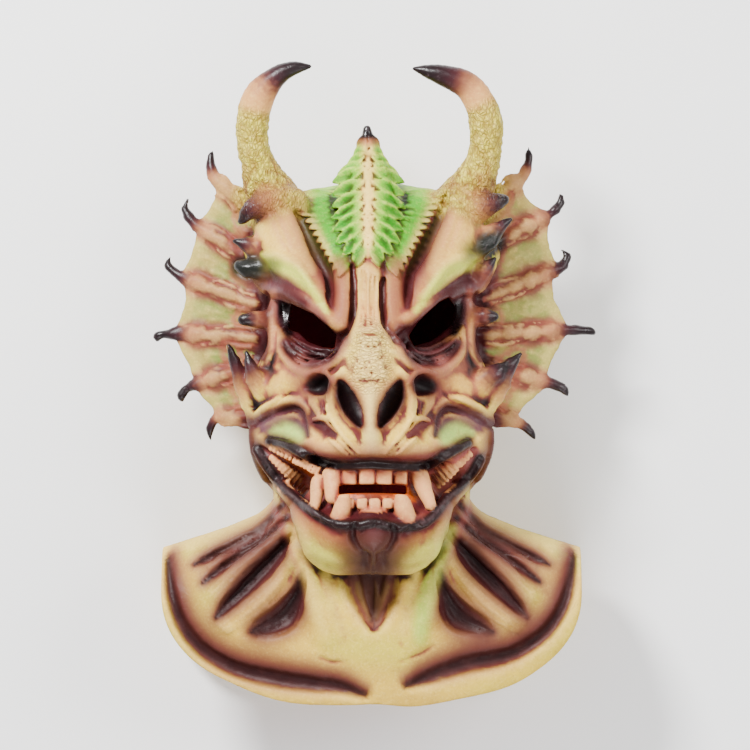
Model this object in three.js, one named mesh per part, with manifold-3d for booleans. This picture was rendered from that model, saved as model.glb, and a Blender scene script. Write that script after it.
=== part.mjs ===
// A dragon mask cast in one piece of foam latex: a hollow head with horns, ear fans and spikes,
// and the neck and shoulder bib that goes over the wearer's collar.
// It lies on its back. X runs across the face, Y from the hem to the horns, Z up out of the face.
// The form is modelled as clay is: masses first, then ridges and grooves drawn on the skin,
// then the thin parts, and last the inside is hollowed out and the hem is trimmed.
import * as THREE from "three";
import { MarchingCubes } from "three/addons/objects/MarchingCubes.js";
import { mergeVertices } from "three/addons/utils/BufferGeometryUtils.js";
import Module from "manifold-3d";

// Driving sizes, in millimetres.
const WALL = 6; // thickness of the latex
const CELL = 2.7; // grid on which the form is worked out
const FACES = 9600; // triangles left after folding flat ones together
const MOST_TRIANGLES = 600000; // room for the surface before they are folded
const INNER_SHARE = 0.05; // weight of the plain inner face against the carved outer one
const SKULL = { at: [0, 75, 101], half: [97, 111, 104] };
const FACE = { at: [0, 5, 138], half: [96, 88, 84] };
const SNOUT = { at: [0, -2, 202], half: [44, 62, 58] };
const CHEEK = { at: [62, -42, 140], half: [47, 46, 60] };
const LIP_MASS = { at: [0, -52, 190], half: [76, 32, 50] };
const CHIN = { at: [0, -118, 178], half: [70, 48, 58] };
const CHEST = { at: [0, -238, 82], half: [200, 108, 84] };
const NECK_RADIUS = 84;
// The bib's outline from the front is a superellipse with a shallow notch and a slight wave.
const HEM = { half: 190, below: 106, middle: -182, power: 2.3, notch: 3.5, wave: 1.2 };
const FAN = { thick: 4.4, z: 118, sweep: 0.3, from: 100 }; // the ear fans lean back as they go out
const MOUTH_SLOT = { low: [-29, -94, 150], high: [31, -86, 262] };
const EYE_DEPTH = 130; // height of the cavity behind the eye holes
const FACE_MIDDLE = -3; // the brow's middle line lies a little to one side
const BOX = { low: [-216, -300, -10], high: [216, 300, 284] };
const SHIFT = [-3.6, -0.5]; // brings the finished outline's middle to the origin

// The two horns: place and radius from foot to tip.
const HORNS = [
  [
    [-93, 178, 140, 22], [-102, 200, 148, 16], [-107, 220, 154, 14.8], [-107, 239, 158, 15],
    [-102, 259, 162, 14.6], [-93, 272, 164, 11.7], [-81, 282, 166, 8.6], [-68, 287, 168, 5.9],
    [-56, 288, 170, 2.2],
  ],
  [
    [90, 178, 140, 22], [99, 200, 148, 16], [103, 221, 154, 14.9], [103, 236, 158, 15.6],
    [99, 252, 161, 14.4], [87, 270, 164, 12.6], [71, 278, 166, 10.6], [54, 283, 168, 7.3],
    [38, 286, 170, 2.2],
  ],
];

// The ribs of each ear fan, top to bottom: root, foot of the spike, tip of the spike,
// and the lowest point of the web's edge on the way to the next spike.
const FANS = [
  [
    { root: [-116, 165], foot: [-143, 191], tip: [-144, 215], dip: [-143, 169] },
    { root: [-106, 113], foot: [-161, 149], tip: [-167, 170], dip: [-161, 128] },
    { root: [-105, 75], foot: [-174, 101], tip: [-183, 118], dip: [-169, 79] },
    { root: [-105, 45], foot: [-180, 49], tip: [-195, 43], dip: [-163, 12] },
    { root: [-103, 20], foot: [-162, 2], tip: [-172, -12], dip: [-143, -21] },
    { root: [-100, -26], foot: [-140, -28], tip: [-146, -48] },
  ],
  [
    { root: [110, 172], foot: [137, 191], tip: [143, 218], dip: [140, 172] },
    { root: [106, 128], foot: [163, 158], tip: [171, 175], dip: [160, 134] },
    { root: [98, 79], foot: [170, 108], tip: [171, 126], dip: [165, 88] },
    { root: [98, 47], foot: [179, 52], tip: [203, 49], dip: [161, 17] },
    { root: [105, 18], foot: [163, 4], tip: [178, -7], dip: [137, -19] },
    { root: [100, -22], foot: [134, -32], tip: [148, -47] },
  ],
];

// Spikes on the brows, temples and cheeks: place and radius from foot to tip.
const SPIKES = [
  [
    [-70, 166, 150, 14], [-84, 169, 158, 13], [-99, 164, 163, 11], [-110, 158, 164, 8],
    [-117, 150, 162, 3.5],
  ],
  [[-86, 130, 148, 14], [-101, 125, 158, 10.5], [-113, 128, 162, 6.5], [-123, 132, 163, 2]],
  [[-78, 108, 156, 17], [-97, 107, 162, 12], [-110, 107, 164, 9], [-117, 109, 163, 6]],
  [[-92, 61, 146, 9], [-104, 61, 152, 7.5], [-115, 61, 155, 5]],
  [[84, 156, 150, 15], [98, 162, 160, 12.5], [109, 166, 163, 9], [118, 168, 162, 5.5]],
  [[90, 130, 148, 14], [101, 134, 158, 10.5], [113, 142, 161, 7], [125, 151, 162, 2]],
  [[80, 126, 154, 16], [96, 128, 160, 11], [108, 130, 162, 6]],
  [[88, 98, 146, 12], [99, 103, 157, 8.5], [111, 116, 159, 2]],
  [[91, 63, 144, 10], [102, 64, 153, 8], [110, 64, 155, 4.5]],
  [[-98, -30, 142, 12], [-112, -4, 150, 9.5], [-121, 18, 156, 6.5], [-128, 37, 160, 2]],
  [[-86, -14, 156, 14], [-101, 4, 164, 10], [-108, 17, 168, 6.5], [-112, 31, 169, 2]],
  [[92, -26, 146, 13], [110, -2, 154, 12], [121, 16, 160, 8], [134, 30, 161, 2]],
  [[84, -12, 156, 15], [101, 6, 166, 11], [112, 14, 168, 7.5], [120, 21, 168, 3]],
];

// The rims of the two eye holes.
const EYES = [
  [
    [-72, 75], [-52, 66], [-39, 55], [-31, 47], [-33, 35], [-44, 36], [-57, 41], [-65, 49],
    [-74, 52], [-73, 63],
  ],
  [
    [69, 81], [75, 73], [74, 62], [72, 57], [60, 46], [52, 41], [38, 37], [33, 46], [41, 58],
    [51, 68], [61, 77],
  ],
];

const UPPER_LIP = [
  [-91, -49], [-77, -53], [-63, -61], [-47, -68], [-26, -69], [-6, -67], [18, -69], [33, -70],
  [50, -69], [64, -61], [75, -55], [86, -49],
];
const LOWER_LIP = [
  [-102, -55], [-92, -72], [-80, -88], [-65, -101], [-47, -114], [-35, -120], [-16, -122],
  [4, -120], [23, -124], [43, -122], [55, -114], [66, -101], [80, -88], [91, -75], [97, -64],
];

// The gap between the lips, as a stroke of x, y, half-width and depth.
const GAP = [
  [-97, -56, 4, 5], [-84, -66, 10, 8], [-66, -79, 17, 10], [-45, -91, 23, 11], [-20, -96, 26, 12],
  [0, -96, 27, 12], [20, -96, 26, 12], [45, -93, 23, 11], [66, -81, 17, 10], [82, -67, 10, 8],
  [92, -56, 4, 5],
];

// Strokes on the bib, given for the right side as x, y, half-width and height or depth.
const SINEW = [[84, -90, 8, 5], [72, -128, 10, 9], [60, -164, 11, 10], [49, -198, 12, 8], [42, -220, 9, 3]];
const HOLLOWS = [
  [[80, -106, 3, 4], [100, -128, 5, 8], [122, -141, 6, 9], [147, -153, 5, 6], [160, -160, 2, 1]],
  [[76, -117, 3, 3], [97, -136, 4, 6], [121, -152, 5, 7], [146, -171, 4, 3], [152, -176, 2, 1]],
  [[74, -134, 5, 5], [90, -153, 10, 11], [113, -177, 11, 11], [132, -198, 7, 6], [140, -207, 3, 1]],
  [[62, -166, 3, 3], [67, -186, 8, 10], [78, -205, 14, 13], [97, -216, 11, 6], [108, -220, 4, 1]],
];
const SHOULDER_RIBS = [
  [[82, -112, 3, 2], [99, -131, 3, 3], [122, -146, 3, 3], [147, -162, 2, 1]],
  [[74, -124, 4, 3], [94, -145, 6, 4], [118, -165, 7, 4], [142, -188, 6, 2]],
  [[68, -150, 4, 3], [84, -174, 6, 4], [108, -198, 8, 4], [134, -217, 6, 1]],
];
// The groove inside the hem runs a little differently on each side.
const RIM_GROOVES = [
  [
    [-185, -156, 4, 3], [-180, -187, 7, 7], [-170, -214, 8, 9], [-153, -235, 9, 10], [-126, -251, 10, 10],
    [-91, -260, 11, 9], [-57, -265, 10, 8], [-29, -268, 8, 6], [-6, -276, 4, 2],
  ],
  [
    [184, -152, 4, 3], [178, -180, 7, 7], [168, -205, 8, 9], [150, -225, 9, 10], [123, -240, 10, 10],
    [88, -247, 11, 9], [54, -258, 9, 7], [31, -268, 4, 2],
  ],
];

// Leaf scales on each side of the forehead's middle line.
const OUTER_SCALES = 11;
const CREST_SCALES = 4;
const INNER_SCALES = 8;

const SIDES = [-1, 1];
const FAR = 60;
const STEP = 4; // spacing along a stroke
const STEEPEST = 1.5; // rise over run of the steepest skin that a stroke follows

// The lower of two distances, rounded where they meet over a width of soft.
function smoothMin(a, b, soft) {
  if (soft <= 0) return Math.min(a, b);
  const t = THREE.MathUtils.clamp(0.5 + (0.5 * (a - b)) / soft, 0, 1);
  return a * (1 - t) + b * t - soft * t * (1 - t);
}

// Rows of four numbers spaced about a step apart along the smooth curve through the given rows.
function along(rows, step = 5) {
  const curve = (pick) =>
    new THREE.CatmullRomCurve3(rows.map(pick), false, "catmullrom", 0.5);
  const place = curve((r) => new THREE.Vector3(r[0], r[1], r[2]));
  const last = curve((r) => new THREE.Vector3(r[3], 0, 0));
  const out = [];
  const spans = rows.length - 1;
  for (let i = 0; i < spans; i++) {
    const length = Math.hypot(rows[i + 1][0] - rows[i][0], rows[i + 1][1] - rows[i][1]);
    const parts = Math.max(1, Math.ceil(length / step));
    for (let s = i ? 1 : 0; s <= parts; s++) {
      const t = (i + s / parts) / spans;
      out.push([...place.getPoint(t).toArray(), last.getPoint(t).x]);
    }
  }
  return out;
}

// Signed distance in the plane from (x, y) to a closed outline, negative inside.
function outlineDistance(outline, x, y) {
  let nearest = Infinity;
  let sign = 1;
  outline.forEach((a, i) => {
    const b = outline[(i + 1) % outline.length];
    const ex = b.x - a.x;
    const ey = b.y - a.y;
    const wx = x - a.x;
    const wy = y - a.y;
    const t = THREE.MathUtils.clamp((wx * ex + wy * ey) / (ex * ex + ey * ey + 1e-9), 0, 1);
    nearest = Math.min(nearest, (wx - ex * t) ** 2 + (wy - ey * t) ** 2);
    const above = y >= a.y;
    const under = y < b.y;
    const left = ex * wy > ey * wx;
    if ((above && under && left) || (!above && !under && !left)) sign = -sign;
  });
  return sign * Math.sqrt(nearest);
}

// A block of clay: a grid of signed distances to the surface, negative inside.
class Clay {
  constructor(low, high, cell) {
    this.low = low;
    this.cell = cell;
    this.count = low.map((a, i) => Math.ceil((high[i] - a) / cell) + 1);
    this.field = new Float32Array(this.count[0] * this.count[1] * this.count[2]).fill(FAR);
    this.heights = new Float32Array(this.count[0] * this.count[1]);
  }

  // Joins a form to the clay, or carves it out. column(x, y) gives its distance as a function of z.
  blend(low, high, soft, column, carve = false) {
    const [nx, ny] = this.count;
    const from = low.map((v, a) => Math.max(0, Math.ceil((v - this.low[a]) / this.cell)));
    const to = high.map((v, a) =>
      Math.min(this.count[a] - 1, Math.floor((v - this.low[a]) / this.cell)),
    );
    for (let j = from[1]; j <= to[1]; j++) {
      for (let i = from[0]; i <= to[0]; i++) {
        const depth = column(this.low[0] + i * this.cell, this.low[1] + j * this.cell);
        for (let k = from[2]; k <= to[2]; k++) {
          const at = (k * ny + j) * nx + i;
          const d = depth(this.low[2] + k * this.cell);
          const old = this.field[at];
          this.field[at] = carve ? -smoothMin(-old, d, soft) : smoothMin(old, d, soft);
        }
      }
    }
  }

  ellipsoid({ at, half }, soft, side = 1) {
    const [cx, cy, cz] = [at[0] * side, at[1], at[2]];
    const reach = soft + 12;
    const low = [cx - half[0] - reach, cy - half[1] - reach, cz - half[2] - reach];
    const high = [cx + half[0] + reach, cy + half[1] + reach, cz + half[2] + reach];
    this.blend(low, high, soft, (x, y) => {
      const u = (x - cx) / half[0];
      const v = (y - cy) / half[1];
      return (z) => {
        const w = (z - cz) / half[2];
        const unit = Math.hypot(u, v, w);
        const slope = Math.hypot(u / half[0], v / half[1], w / half[2]) + 1e-9;
        return Math.max((unit * (unit - 1)) / slope, -Math.min(...half));
      };
    });
  }

  // A round rope through rows of place and radius.
  rope(rows, soft, carve = false) {
    const reach = soft + 9;
    const low = [0, 1, 2].map((a) => Math.min(...rows.map((r) => r[a] - r[3])) - reach);
    const high = [0, 1, 2].map((a) => Math.max(...rows.map((r) => r[a] + r[3])) + reach);
    const pieces = rows.slice(1).map((b, i) => {
      const a = rows[i];
      const run = [b[0] - a[0], b[1] - a[1], b[2] - a[2]];
      return { a, run, grow: b[3] - a[3], square: run[0] ** 2 + run[1] ** 2 + run[2] ** 2 + 1e-9 };
    });
    const column = (x, y) => (z) => {
      let best = Infinity;
      for (const { a, run, grow, square } of pieces) {
        const wx = x - a[0];
        const wy = y - a[1];
        const wz = z - a[2];
        const dot = (wx * run[0] + wy * run[1] + wz * run[2]) / square;
        const t = dot < 0 ? 0 : dot > 1 ? 1 : dot;
        const dx = wx - t * run[0];
        const dy = wy - t * run[1];
        const dz = wz - t * run[2];
        best = Math.min(best, Math.sqrt(dx * dx + dy * dy + dz * dz) - a[3] - t * grow);
      }
      return best;
    };
    this.blend(low, high, soft, column, carve);
  }

  // Finds the height of the skin seen from above, over every point of the grid.
  measureSkin() {
    const [nx, ny, nz] = this.count;
    const layer = nx * ny;
    for (let at = 0; at < layer; at++) {
      let k = nz - 2;
      while (k >= 0 && this.field[k * layer + at] >= 0) k--;
      const inside = k < 0 ? 0 : this.field[k * layer + at];
      const outside = k < 0 ? 1 : this.field[(k + 1) * layer + at];
      this.heights[at] =
        k < 0 ? 0 : this.low[2] + this.cell * (k + inside / (inside - outside - 1e-6));
    }
  }

  // Height of the skin at any point, now or as it was when the given heights were kept.
  skin(x, y, heights = this.heights) {
    const [nx, ny] = this.count;
    const u = (x - this.low[0]) / this.cell;
    const v = (y - this.low[1]) / this.cell;
    const i = THREE.MathUtils.clamp(Math.floor(u), 0, nx - 2);
    const j = THREE.MathUtils.clamp(Math.floor(v), 0, ny - 2);
    const height = (a, b) => heights[b * nx + a];
    const lower = THREE.MathUtils.lerp(height(i, j), height(i + 1, j), u - i);
    const upper = THREE.MathUtils.lerp(height(i, j + 1), height(i + 1, j + 1), u - i);
    return THREE.MathUtils.lerp(lower, upper, v - j);
  }

  // The skin's outward direction, never turned far from the view from above.
  normal(x, y) {
    const e = 4;
    const slope = new THREE.Vector2(
      (this.skin(x + e, y) - this.skin(x - e, y)) / (2 * e),
      (this.skin(x, y + e) - this.skin(x, y - e)) / (2 * e),
    ).clampLength(0, STEEPEST);
    return new THREE.Vector3(-slope.x, -slope.y, 1).normalize();
  }

  // A stroke along the skin through rows of x, y, half-width and height (or depth, when carved).
  // Where it runs past the skin's edge it drops no faster than the steepest slope allowed.
  stroke(rows, soft, carve) {
    const way = carve ? -1 : 1;
    const steps = along(rows, STEP);
    const heights = steps.map(([x, y]) => this.skin(x, y));
    const drop = STEEPEST * STEP;
    for (let i = 1; i < heights.length; i++) {
      heights[i] = Math.max(heights[i], heights[i - 1] - drop);
    }
    for (let i = heights.length - 2; i >= 0; i--) {
      heights[i] = Math.max(heights[i], heights[i + 1] - drop);
    }
    const beads = steps.map(([x, y, w, h], i) => {
      const wide = Math.max(w, 0.4);
      const high = Math.max(h, 0.3);
      const radius = Math.max((wide * wide + high * high) / (2 * high), wide);
      const at = this.normal(x, y).multiplyScalar(way * (high - radius));
      return [x + at.x, y + at.y, heights[i] + at.z, radius];
    });
    this.rope(beads, soft, carve);
  }

  ridges(strokes, soft) {
    for (const rows of strokes) this.stroke(rows, soft, false);
    this.measureSkin();
  }

  grooves(strokes, soft) {
    for (const rows of strokes) this.stroke(rows, soft, true);
    this.measureSkin();
  }

  // A rounded block.
  block({ at, half, edge }, soft) {
    const reach = half.map((h) => h + soft + 6);
    const low = at.map((c, a) => c - reach[a]);
    const high = at.map((c, a) => c + reach[a]);
    this.blend(low, high, soft, (x, y) => {
      const u = Math.abs(x - at[0]) - half[0] + edge;
      const v = Math.abs(y - at[1]) - half[1] + edge;
      return (z) => {
        const w = Math.abs(z - at[2]) - half[2] + edge;
        const outside = Math.hypot(Math.max(u, 0), Math.max(v, 0), Math.max(w, 0));
        return outside + Math.min(Math.max(u, v, w), 0) - edge;
      };
    });
  }

  // Distance read back at any point.
  sample(x, y, z) {
    const [nx, ny, nz] = this.count;
    const p = [x, y, z].map((v, a) => (v - this.low[a]) / this.cell);
    const c = p.map((v, a) => THREE.MathUtils.clamp(Math.floor(v), 0, [nx, ny, nz][a] - 2));
    let sum = 0;
    for (let n = 0; n < 8; n++) {
      const o = [n & 1, (n >> 1) & 1, n >> 2];
      const weight = o.reduce((w, on, a) => w * (on ? p[a] - c[a] : 1 - p[a] + c[a]), 1);
      sum += weight * this.field[((c[2] + o[2]) * ny + c[1] + o[1]) * nx + c[0] + o[0]];
    }
    return sum;
  }
}

// The same stroke on both sides of a middle line.
function mirrored(rows, middle = 0) {
  return SIDES.map((side) => rows.map(([x, ...rest]) => [middle + side * x, ...rest]));
}

function bib(clay) {
  clay.ellipsoid(CHEST, 0);
  for (const s of SIDES) {
    clay.rope([[s * 40, -160, 96, 66], [s * 112, -186, 88, 62], [s * 166, -202, 80, 61]], 34);
  }
  clay.rope([[0, -30, 90, NECK_RADIUS], [0, -200, 82, NECK_RADIUS]], 26);
  clay.measureSkin();
  // Sinews run from behind the jaw to the breastbone, with the hollow of the throat between.
  clay.ridges(mirrored(SINEW), 8);
  const throat = [[1, -146, 32, 12], [1, -174, 28, 16], [2, -196, 17, 14], [2, -214, 7, 6]];
  clay.grooves([throat], 4);
  const fold = [[16, -160, 4, 3], [12, -184, 4, 3], [4, -208, 2, 2]];
  clay.ridges(mirrored(fold, 1), 2);
  // Hollows fan out over each shoulder, with thin ribs between them.
  clay.grooves(HOLLOWS.flatMap((rows) => mirrored(rows)), 3.5);
  clay.ridges(SHOULDER_RIBS.flatMap((rows) => mirrored(rows)), 3);
  // The groove inside the hem is broad and shallow, with a narrow deep one along its outer side.
  const broad = ([x, y, w, h]) => [0.95 * x, y + 7, 1.5 * w, 0.5 * h];
  const deep = ([x, y, w, h]) => [x, y - 2, 0.7 * w, h];
  clay.grooves(RIM_GROOVES.map((rows) => rows.map(broad)), 6);
  clay.grooves(RIM_GROOVES.map((rows) => rows.map(deep)), 2);
}

function head(clay) {
  clay.ellipsoid(SKULL, 6);
  clay.rope([[-48, 136, 112, 44], [48, 136, 112, 44]], 14);
  clay.ellipsoid(FACE, 22);
  clay.ellipsoid(SNOUT, 26);
  for (const s of SIDES) clay.ellipsoid(CHEEK, 18, s);
  clay.ellipsoid(LIP_MASS, 16);
  clay.ellipsoid(CHIN, 6);
  clay.measureSkin();
}

function brows(clay) {
  // A broad plate from each horn's foot to the inner corner of the eye, and its lower roll.
  const plate = [
    [82, 166, 132, 23], [77, 140, 152, 25], [66, 113, 169, 26], [49, 88, 190, 20], [34, 70, 205, 12],
  ];
  const roll = [
    [98, 122, 128, 18], [88, 100, 146, 18], [70, 86, 167, 14], [50, 71, 190, 11], [30, 57, 208, 9],
  ];
  for (const rows of mirrored(plate, FACE_MIDDLE)) clay.rope(along(rows), 8);
  for (const rows of mirrored(roll)) clay.rope(along(rows), 7);
  clay.measureSkin();
  // A sharp ledge runs across the plate, with a scoop under it over the eye.
  const scoop = [[94, 99, 7, 2], [78, 92, 9, 3.5], [63, 81, 8, 3], [49, 69, 5, 1.5]];
  clay.grooves(mirrored(scoop), 5);
  const ledge = [[98, 118, 4, 2], [82, 116, 5, 3], [66, 108, 5, 4], [56, 94, 4, 4], [47, 81, 4, 2]];
  clay.ridges(mirrored(ledge), 2.5);
  const seam = [
    [70, 175, 4, 4], [64, 160, 6, 8], [54, 138, 7, 11], [45, 118, 7, 11], [37, 103, 5, 10],
    [34, 88, 4, 9], [34, 73, 3, 3],
  ];
  clay.grooves(mirrored(seam, FACE_MIDDLE + 1), 2);
}

function eyeSockets(clay) {
  // One eye sits a little higher than the other.
  const lifted = (rows) =>
    SIDES.map((side) => rows.map(([x, y, w, h]) => [side * x, y + (side > 0 ? 7 : 0), w, h]));
  const socket = [[85, 74, 7, 6], [75, 60, 15, 14], [57, 45, 18, 17], [38, 38, 13, 13], [28, 42, 7, 7]];
  clay.grooves(lifted(socket), 3);
  const bowl = [[77, 38, 4, 3], [68, 30, 8, 8], [54, 27, 10, 10], [40, 31, 9, 8], [31, 39, 5, 5]];
  clay.grooves(lifted(bowl), 2.5);
  const lid = [[88, 88, 5, 2], [66, 81, 6, 4], [47, 69, 7, 5], [31, 58, 7, 5], [21, 53, 5, 3]];
  const rim = [
    [82, 52, 3, 2], [80, 32, 4, 4], [64, 15, 4, 4], [46, 15, 4, 4], [30, 25, 4, 4], [22, 42, 3, 3],
  ];
  clay.ridges([...mirrored(lid), ...mirrored(rim)], 2.5);
}

function nose(clay) {
  // A roll beside the bridge, and the bridge itself, which widens to the top of the nose.
  const inner = [[24, 118, 184, 7], [21, 100, 197, 9.5], [20.5, 78, 209, 10], [22.5, 56, 215, 9]];
  for (const rows of mirrored(inner, FACE_MIDDLE)) clay.rope(along(rows, 4), 2.5);
  const bridge = [
    [-3, 140, 180, 12], [-3, 100, 200, 12.5], [-2, 66, 214, 14], [-2, 46, 226, 18], [-1, 22, 236, 23.6],
    [-1, 0, 239, 24.6],
  ];
  clay.rope(along(bridge, 4), 5);
  clay.measureSkin();
  const seam = [[13, 112, 2.5, 4], [13, 88, 3.5, 8], [13.5, 66, 3.5, 8], [17, 52, 4, 7], [27, 41, 3, 4]];
  clay.grooves(mirrored(seam, FACE_MIDDLE), 1.5);
  // The wings of the nose, and the folds that run from them to the lip.
  const wing = [
    [25, 14, 4, 3], [33, 5, 4, 5], [34, -12, 4, 5], [30, -27, 5, 5], [19, -42, 5, 5], [9, -54, 4, 3],
  ];
  const fold = [[52, -13, 6, 3], [43, -26, 5, 4], [33, -42, 5, 4], [25, -56, 4, 2]];
  const mound = [[22, -48, 5, 3], [33, -52, 9, 5], [46, -55, 5, 2]];
  const septum = [[-1, -4, 6, 3], [-1, -28, 6, 6], [0, -46, 11, 7], [0, -58, 13, 5]];
  clay.ridges([...mirrored(wing), ...mirrored(fold), ...mirrored(mound), septum], 2.5);
  // The nostrils, a pit beside each, and a slot under it.
  const nostril = [[27, 4, 2.5, 5], [23, -7, 8.5, 18], [16, -20, 8, 18], [10, -32, 3, 7]];
  clay.grooves(mirrored(nostril, -1), 1.5);
  const pit = [[58, -1, 2, 2], [50, 2, 8, 12], [44, 3.5, 9.5, 14]];
  const slot = [[53, -30, 3, 3], [43, -36, 5.5, 8], [33, -43, 3, 3]];
  clay.grooves([...mirrored(pit), ...mirrored(slot)], 2);
}

function cheeks(clay) {
  const hollow = [[101, -36, 7, 5], [88, -38, 13, 9], [74, -36, 15, 9], [64, -42, 9, 5]];
  clay.grooves(mirrored(hollow), 3.5);
  const edge = [[109, -30, 4, 2], [97, -20, 5, 4], [80, -13, 5, 5], [66, -12, 4, 4], [56, -20, 3, 2]];
  const jaw = [[107, -40, 5, 3], [105, -58, 5, 4], [97, -78, 5, 4], [84, -92, 5, 3]];
  clay.ridges([...mirrored(edge), ...mirrored(jaw)], 2.5);
}

// A ridge runs down each temple with a hollow behind it, and ends in the cheekbone.
function temples(clay) {
  const ridge = [
    [96, 98, 138, 8], [88, 88, 148, 6], [88, 56, 152, 6], [87, 36, 156, 7], [93, 18, 154, 9],
  ];
  const cheekbone = [[98, 4, 148, 13], [82, -2, 168, 14], [62, 4, 188, 11], [48, 14, 204, 8]];
  for (const rows of mirrored(ridge)) clay.rope(along(rows), 3);
  for (const rows of mirrored(cheekbone)) clay.rope(along(rows), 6);
  clay.measureSkin();
  const cup = [[94, 84, 3, 4], [97, 62, 5, 8], [98, 42, 6, 9], [98, 28, 4, 5]];
  clay.grooves(mirrored(cup), 2.5);
}

// A front tooth is a rounded block, a fang a tapered peg.
function teeth(clay, height) {
  for (const [x, half] of [[-19.5, 6.9], [-4, 7.2], [11.5, 7.3], [26, 6.4]]) {
    clay.block({ at: [x, -79, height(x, -80) - 5], half: [half, 9.5, 6], edge: 3.4 }, 0.5);
  }
  for (const x of [-20, -8.5, 3, 14.5]) {
    clay.block({ at: [x, -104, height(x, -104) - 8], half: [5.4, 6, 5], edge: 2.8 }, 0.5);
  }
  const fangs = [
    { foot: [-35, -72], tip: [-34, -99], radii: [9.4, 6.5] },
    { foot: [-46, -84], tip: [-50, -105], radii: [7.5, 4.6] },
    { foot: [41, -72], tip: [52, -105], radii: [9.2, 4.4] },
    { foot: [-29, -114], tip: [-23, -91], radii: [9.2, 3.4] },
    { foot: [29, -113], tip: [25, -89], radii: [10, 2.6] },
  ];
  const lift = 6;
  for (const { foot, tip, radii } of fangs) {
    const z = Math.max(height(...foot), height(...tip)) + lift;
    const rows = [0, 0.4, 0.75, 1].map((t) => {
      const radius = THREE.MathUtils.lerp(...radii, t);
      const x = THREE.MathUtils.lerp(foot[0], tip[0], t);
      const y = THREE.MathUtils.lerp(foot[1], tip[1], t);
      return [x, y, z - radius, THREE.MathUtils.lerp(...radii, t ** 1.5)];
    });
    clay.rope(rows, 0.6);
  }
  clay.measureSkin();
}

function mouth(clay) {
  // The gap is cut first, then the lips are laid round it, then the teeth stand in it.
  const closed = clay.heights.slice();
  clay.grooves([GAP], 2.5);
  const upper = UPPER_LIP.map(([x, y]) => [x, y, 4.5, 5.5]);
  const lower = LOWER_LIP.map(([x, y]) => [x, y, 4.5, 6.5]);
  clay.ridges([upper, lower], 2);
  teeth(clay, (x, y) => clay.skin(x, y, closed));
}

function chin(clay) {
  const edge = [
    [84, -88, 5, 3], [68, -106, 7, 5], [59, -128, 9, 6], [51, -148, 10, 7], [34, -159, 10, 7],
    [8, -161, 8, 5],
  ];
  clay.ridges(mirrored(edge), 5);
  clay.ridges([[[2, -128, 10, 3], [2, -136, 12, 6], [2, -142, 8, 4]]], 2);
  const crescent = [[17, -122, 2.5, 4], [19, -133, 3.5, 7], [13, -143, 3, 5], [7, -148, 2, 2]];
  const stem = [[7, -147, 3, 4], [8, -154, 4, 5], [9, -163, 3, 2]];
  clay.grooves([...mirrored(crescent, 2), ...mirrored(stem, 2)], 1.5);
}

function crest(clay) {
  const rows = [
    [-4, 232, 166, 3.5], [-3, 222, 163, 6.5], [-3, 212, 160, 8.5], [-2, 201, 157, 11],
    [-1, 188, 156, 16], [0, 172, 160, 20], [0, 150, 166, 22], [0, 128, 180, 16], [0, 104, 196, 10],
  ];
  clay.rope(along(rows), 12);
  clay.measureSkin();
}

// Leaf scales lie in pairs down the forehead: outer ones, then the larger ones over them.
function scales(clay) {
  const pair = (root, tip, half, high) => {
    const at = (t) => root.map((v, a) => THREE.MathUtils.lerp(v, tip[a], t));
    const leaf = [
      [...at(0), 0.5 * half, 0.4 * high],
      [...at(0.55), half, high],
      [...at(1), 0.3 * half, 0.5 * high],
    ];
    return mirrored(leaf, FACE_MIDDLE);
  };
  const outer = [];
  for (let k = 0; k < OUTER_SCALES; k++) {
    const t = k / (OUTER_SCALES - 1);
    outer.push(...pair([34 - 19 * t, 176 - 55 * t], [27 + 43 * (1 - t) ** 0.9, 174 - 75.5 * t], 3.4, 3));
  }
  clay.ridges(outer, 1);
  const inner = [];
  for (let k = 0; k < CREST_SCALES; k++) {
    inner.push(...pair([3, 227 - 8 * k], [9 + 3 * k + 1.1 * k * k, 211 - 6.5 * k], 3.6, 4));
  }
  for (let k = 0; k < INNER_SCALES; k++) {
    const lower = Math.max(k - 2, 0);
    const y = 184 - 11 * k;
    inner.push(...pair([4, y + 13 + 2.3 * lower], [33 - 0.17 * lower ** 3, y], 4.8, 5));
  }
  clay.ridges(inner, 1);
}

function spikes(clay) {
  for (const rows of SPIKES) clay.rope(along(rows, 4), 5);
  clay.measureSkin();
}

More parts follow.
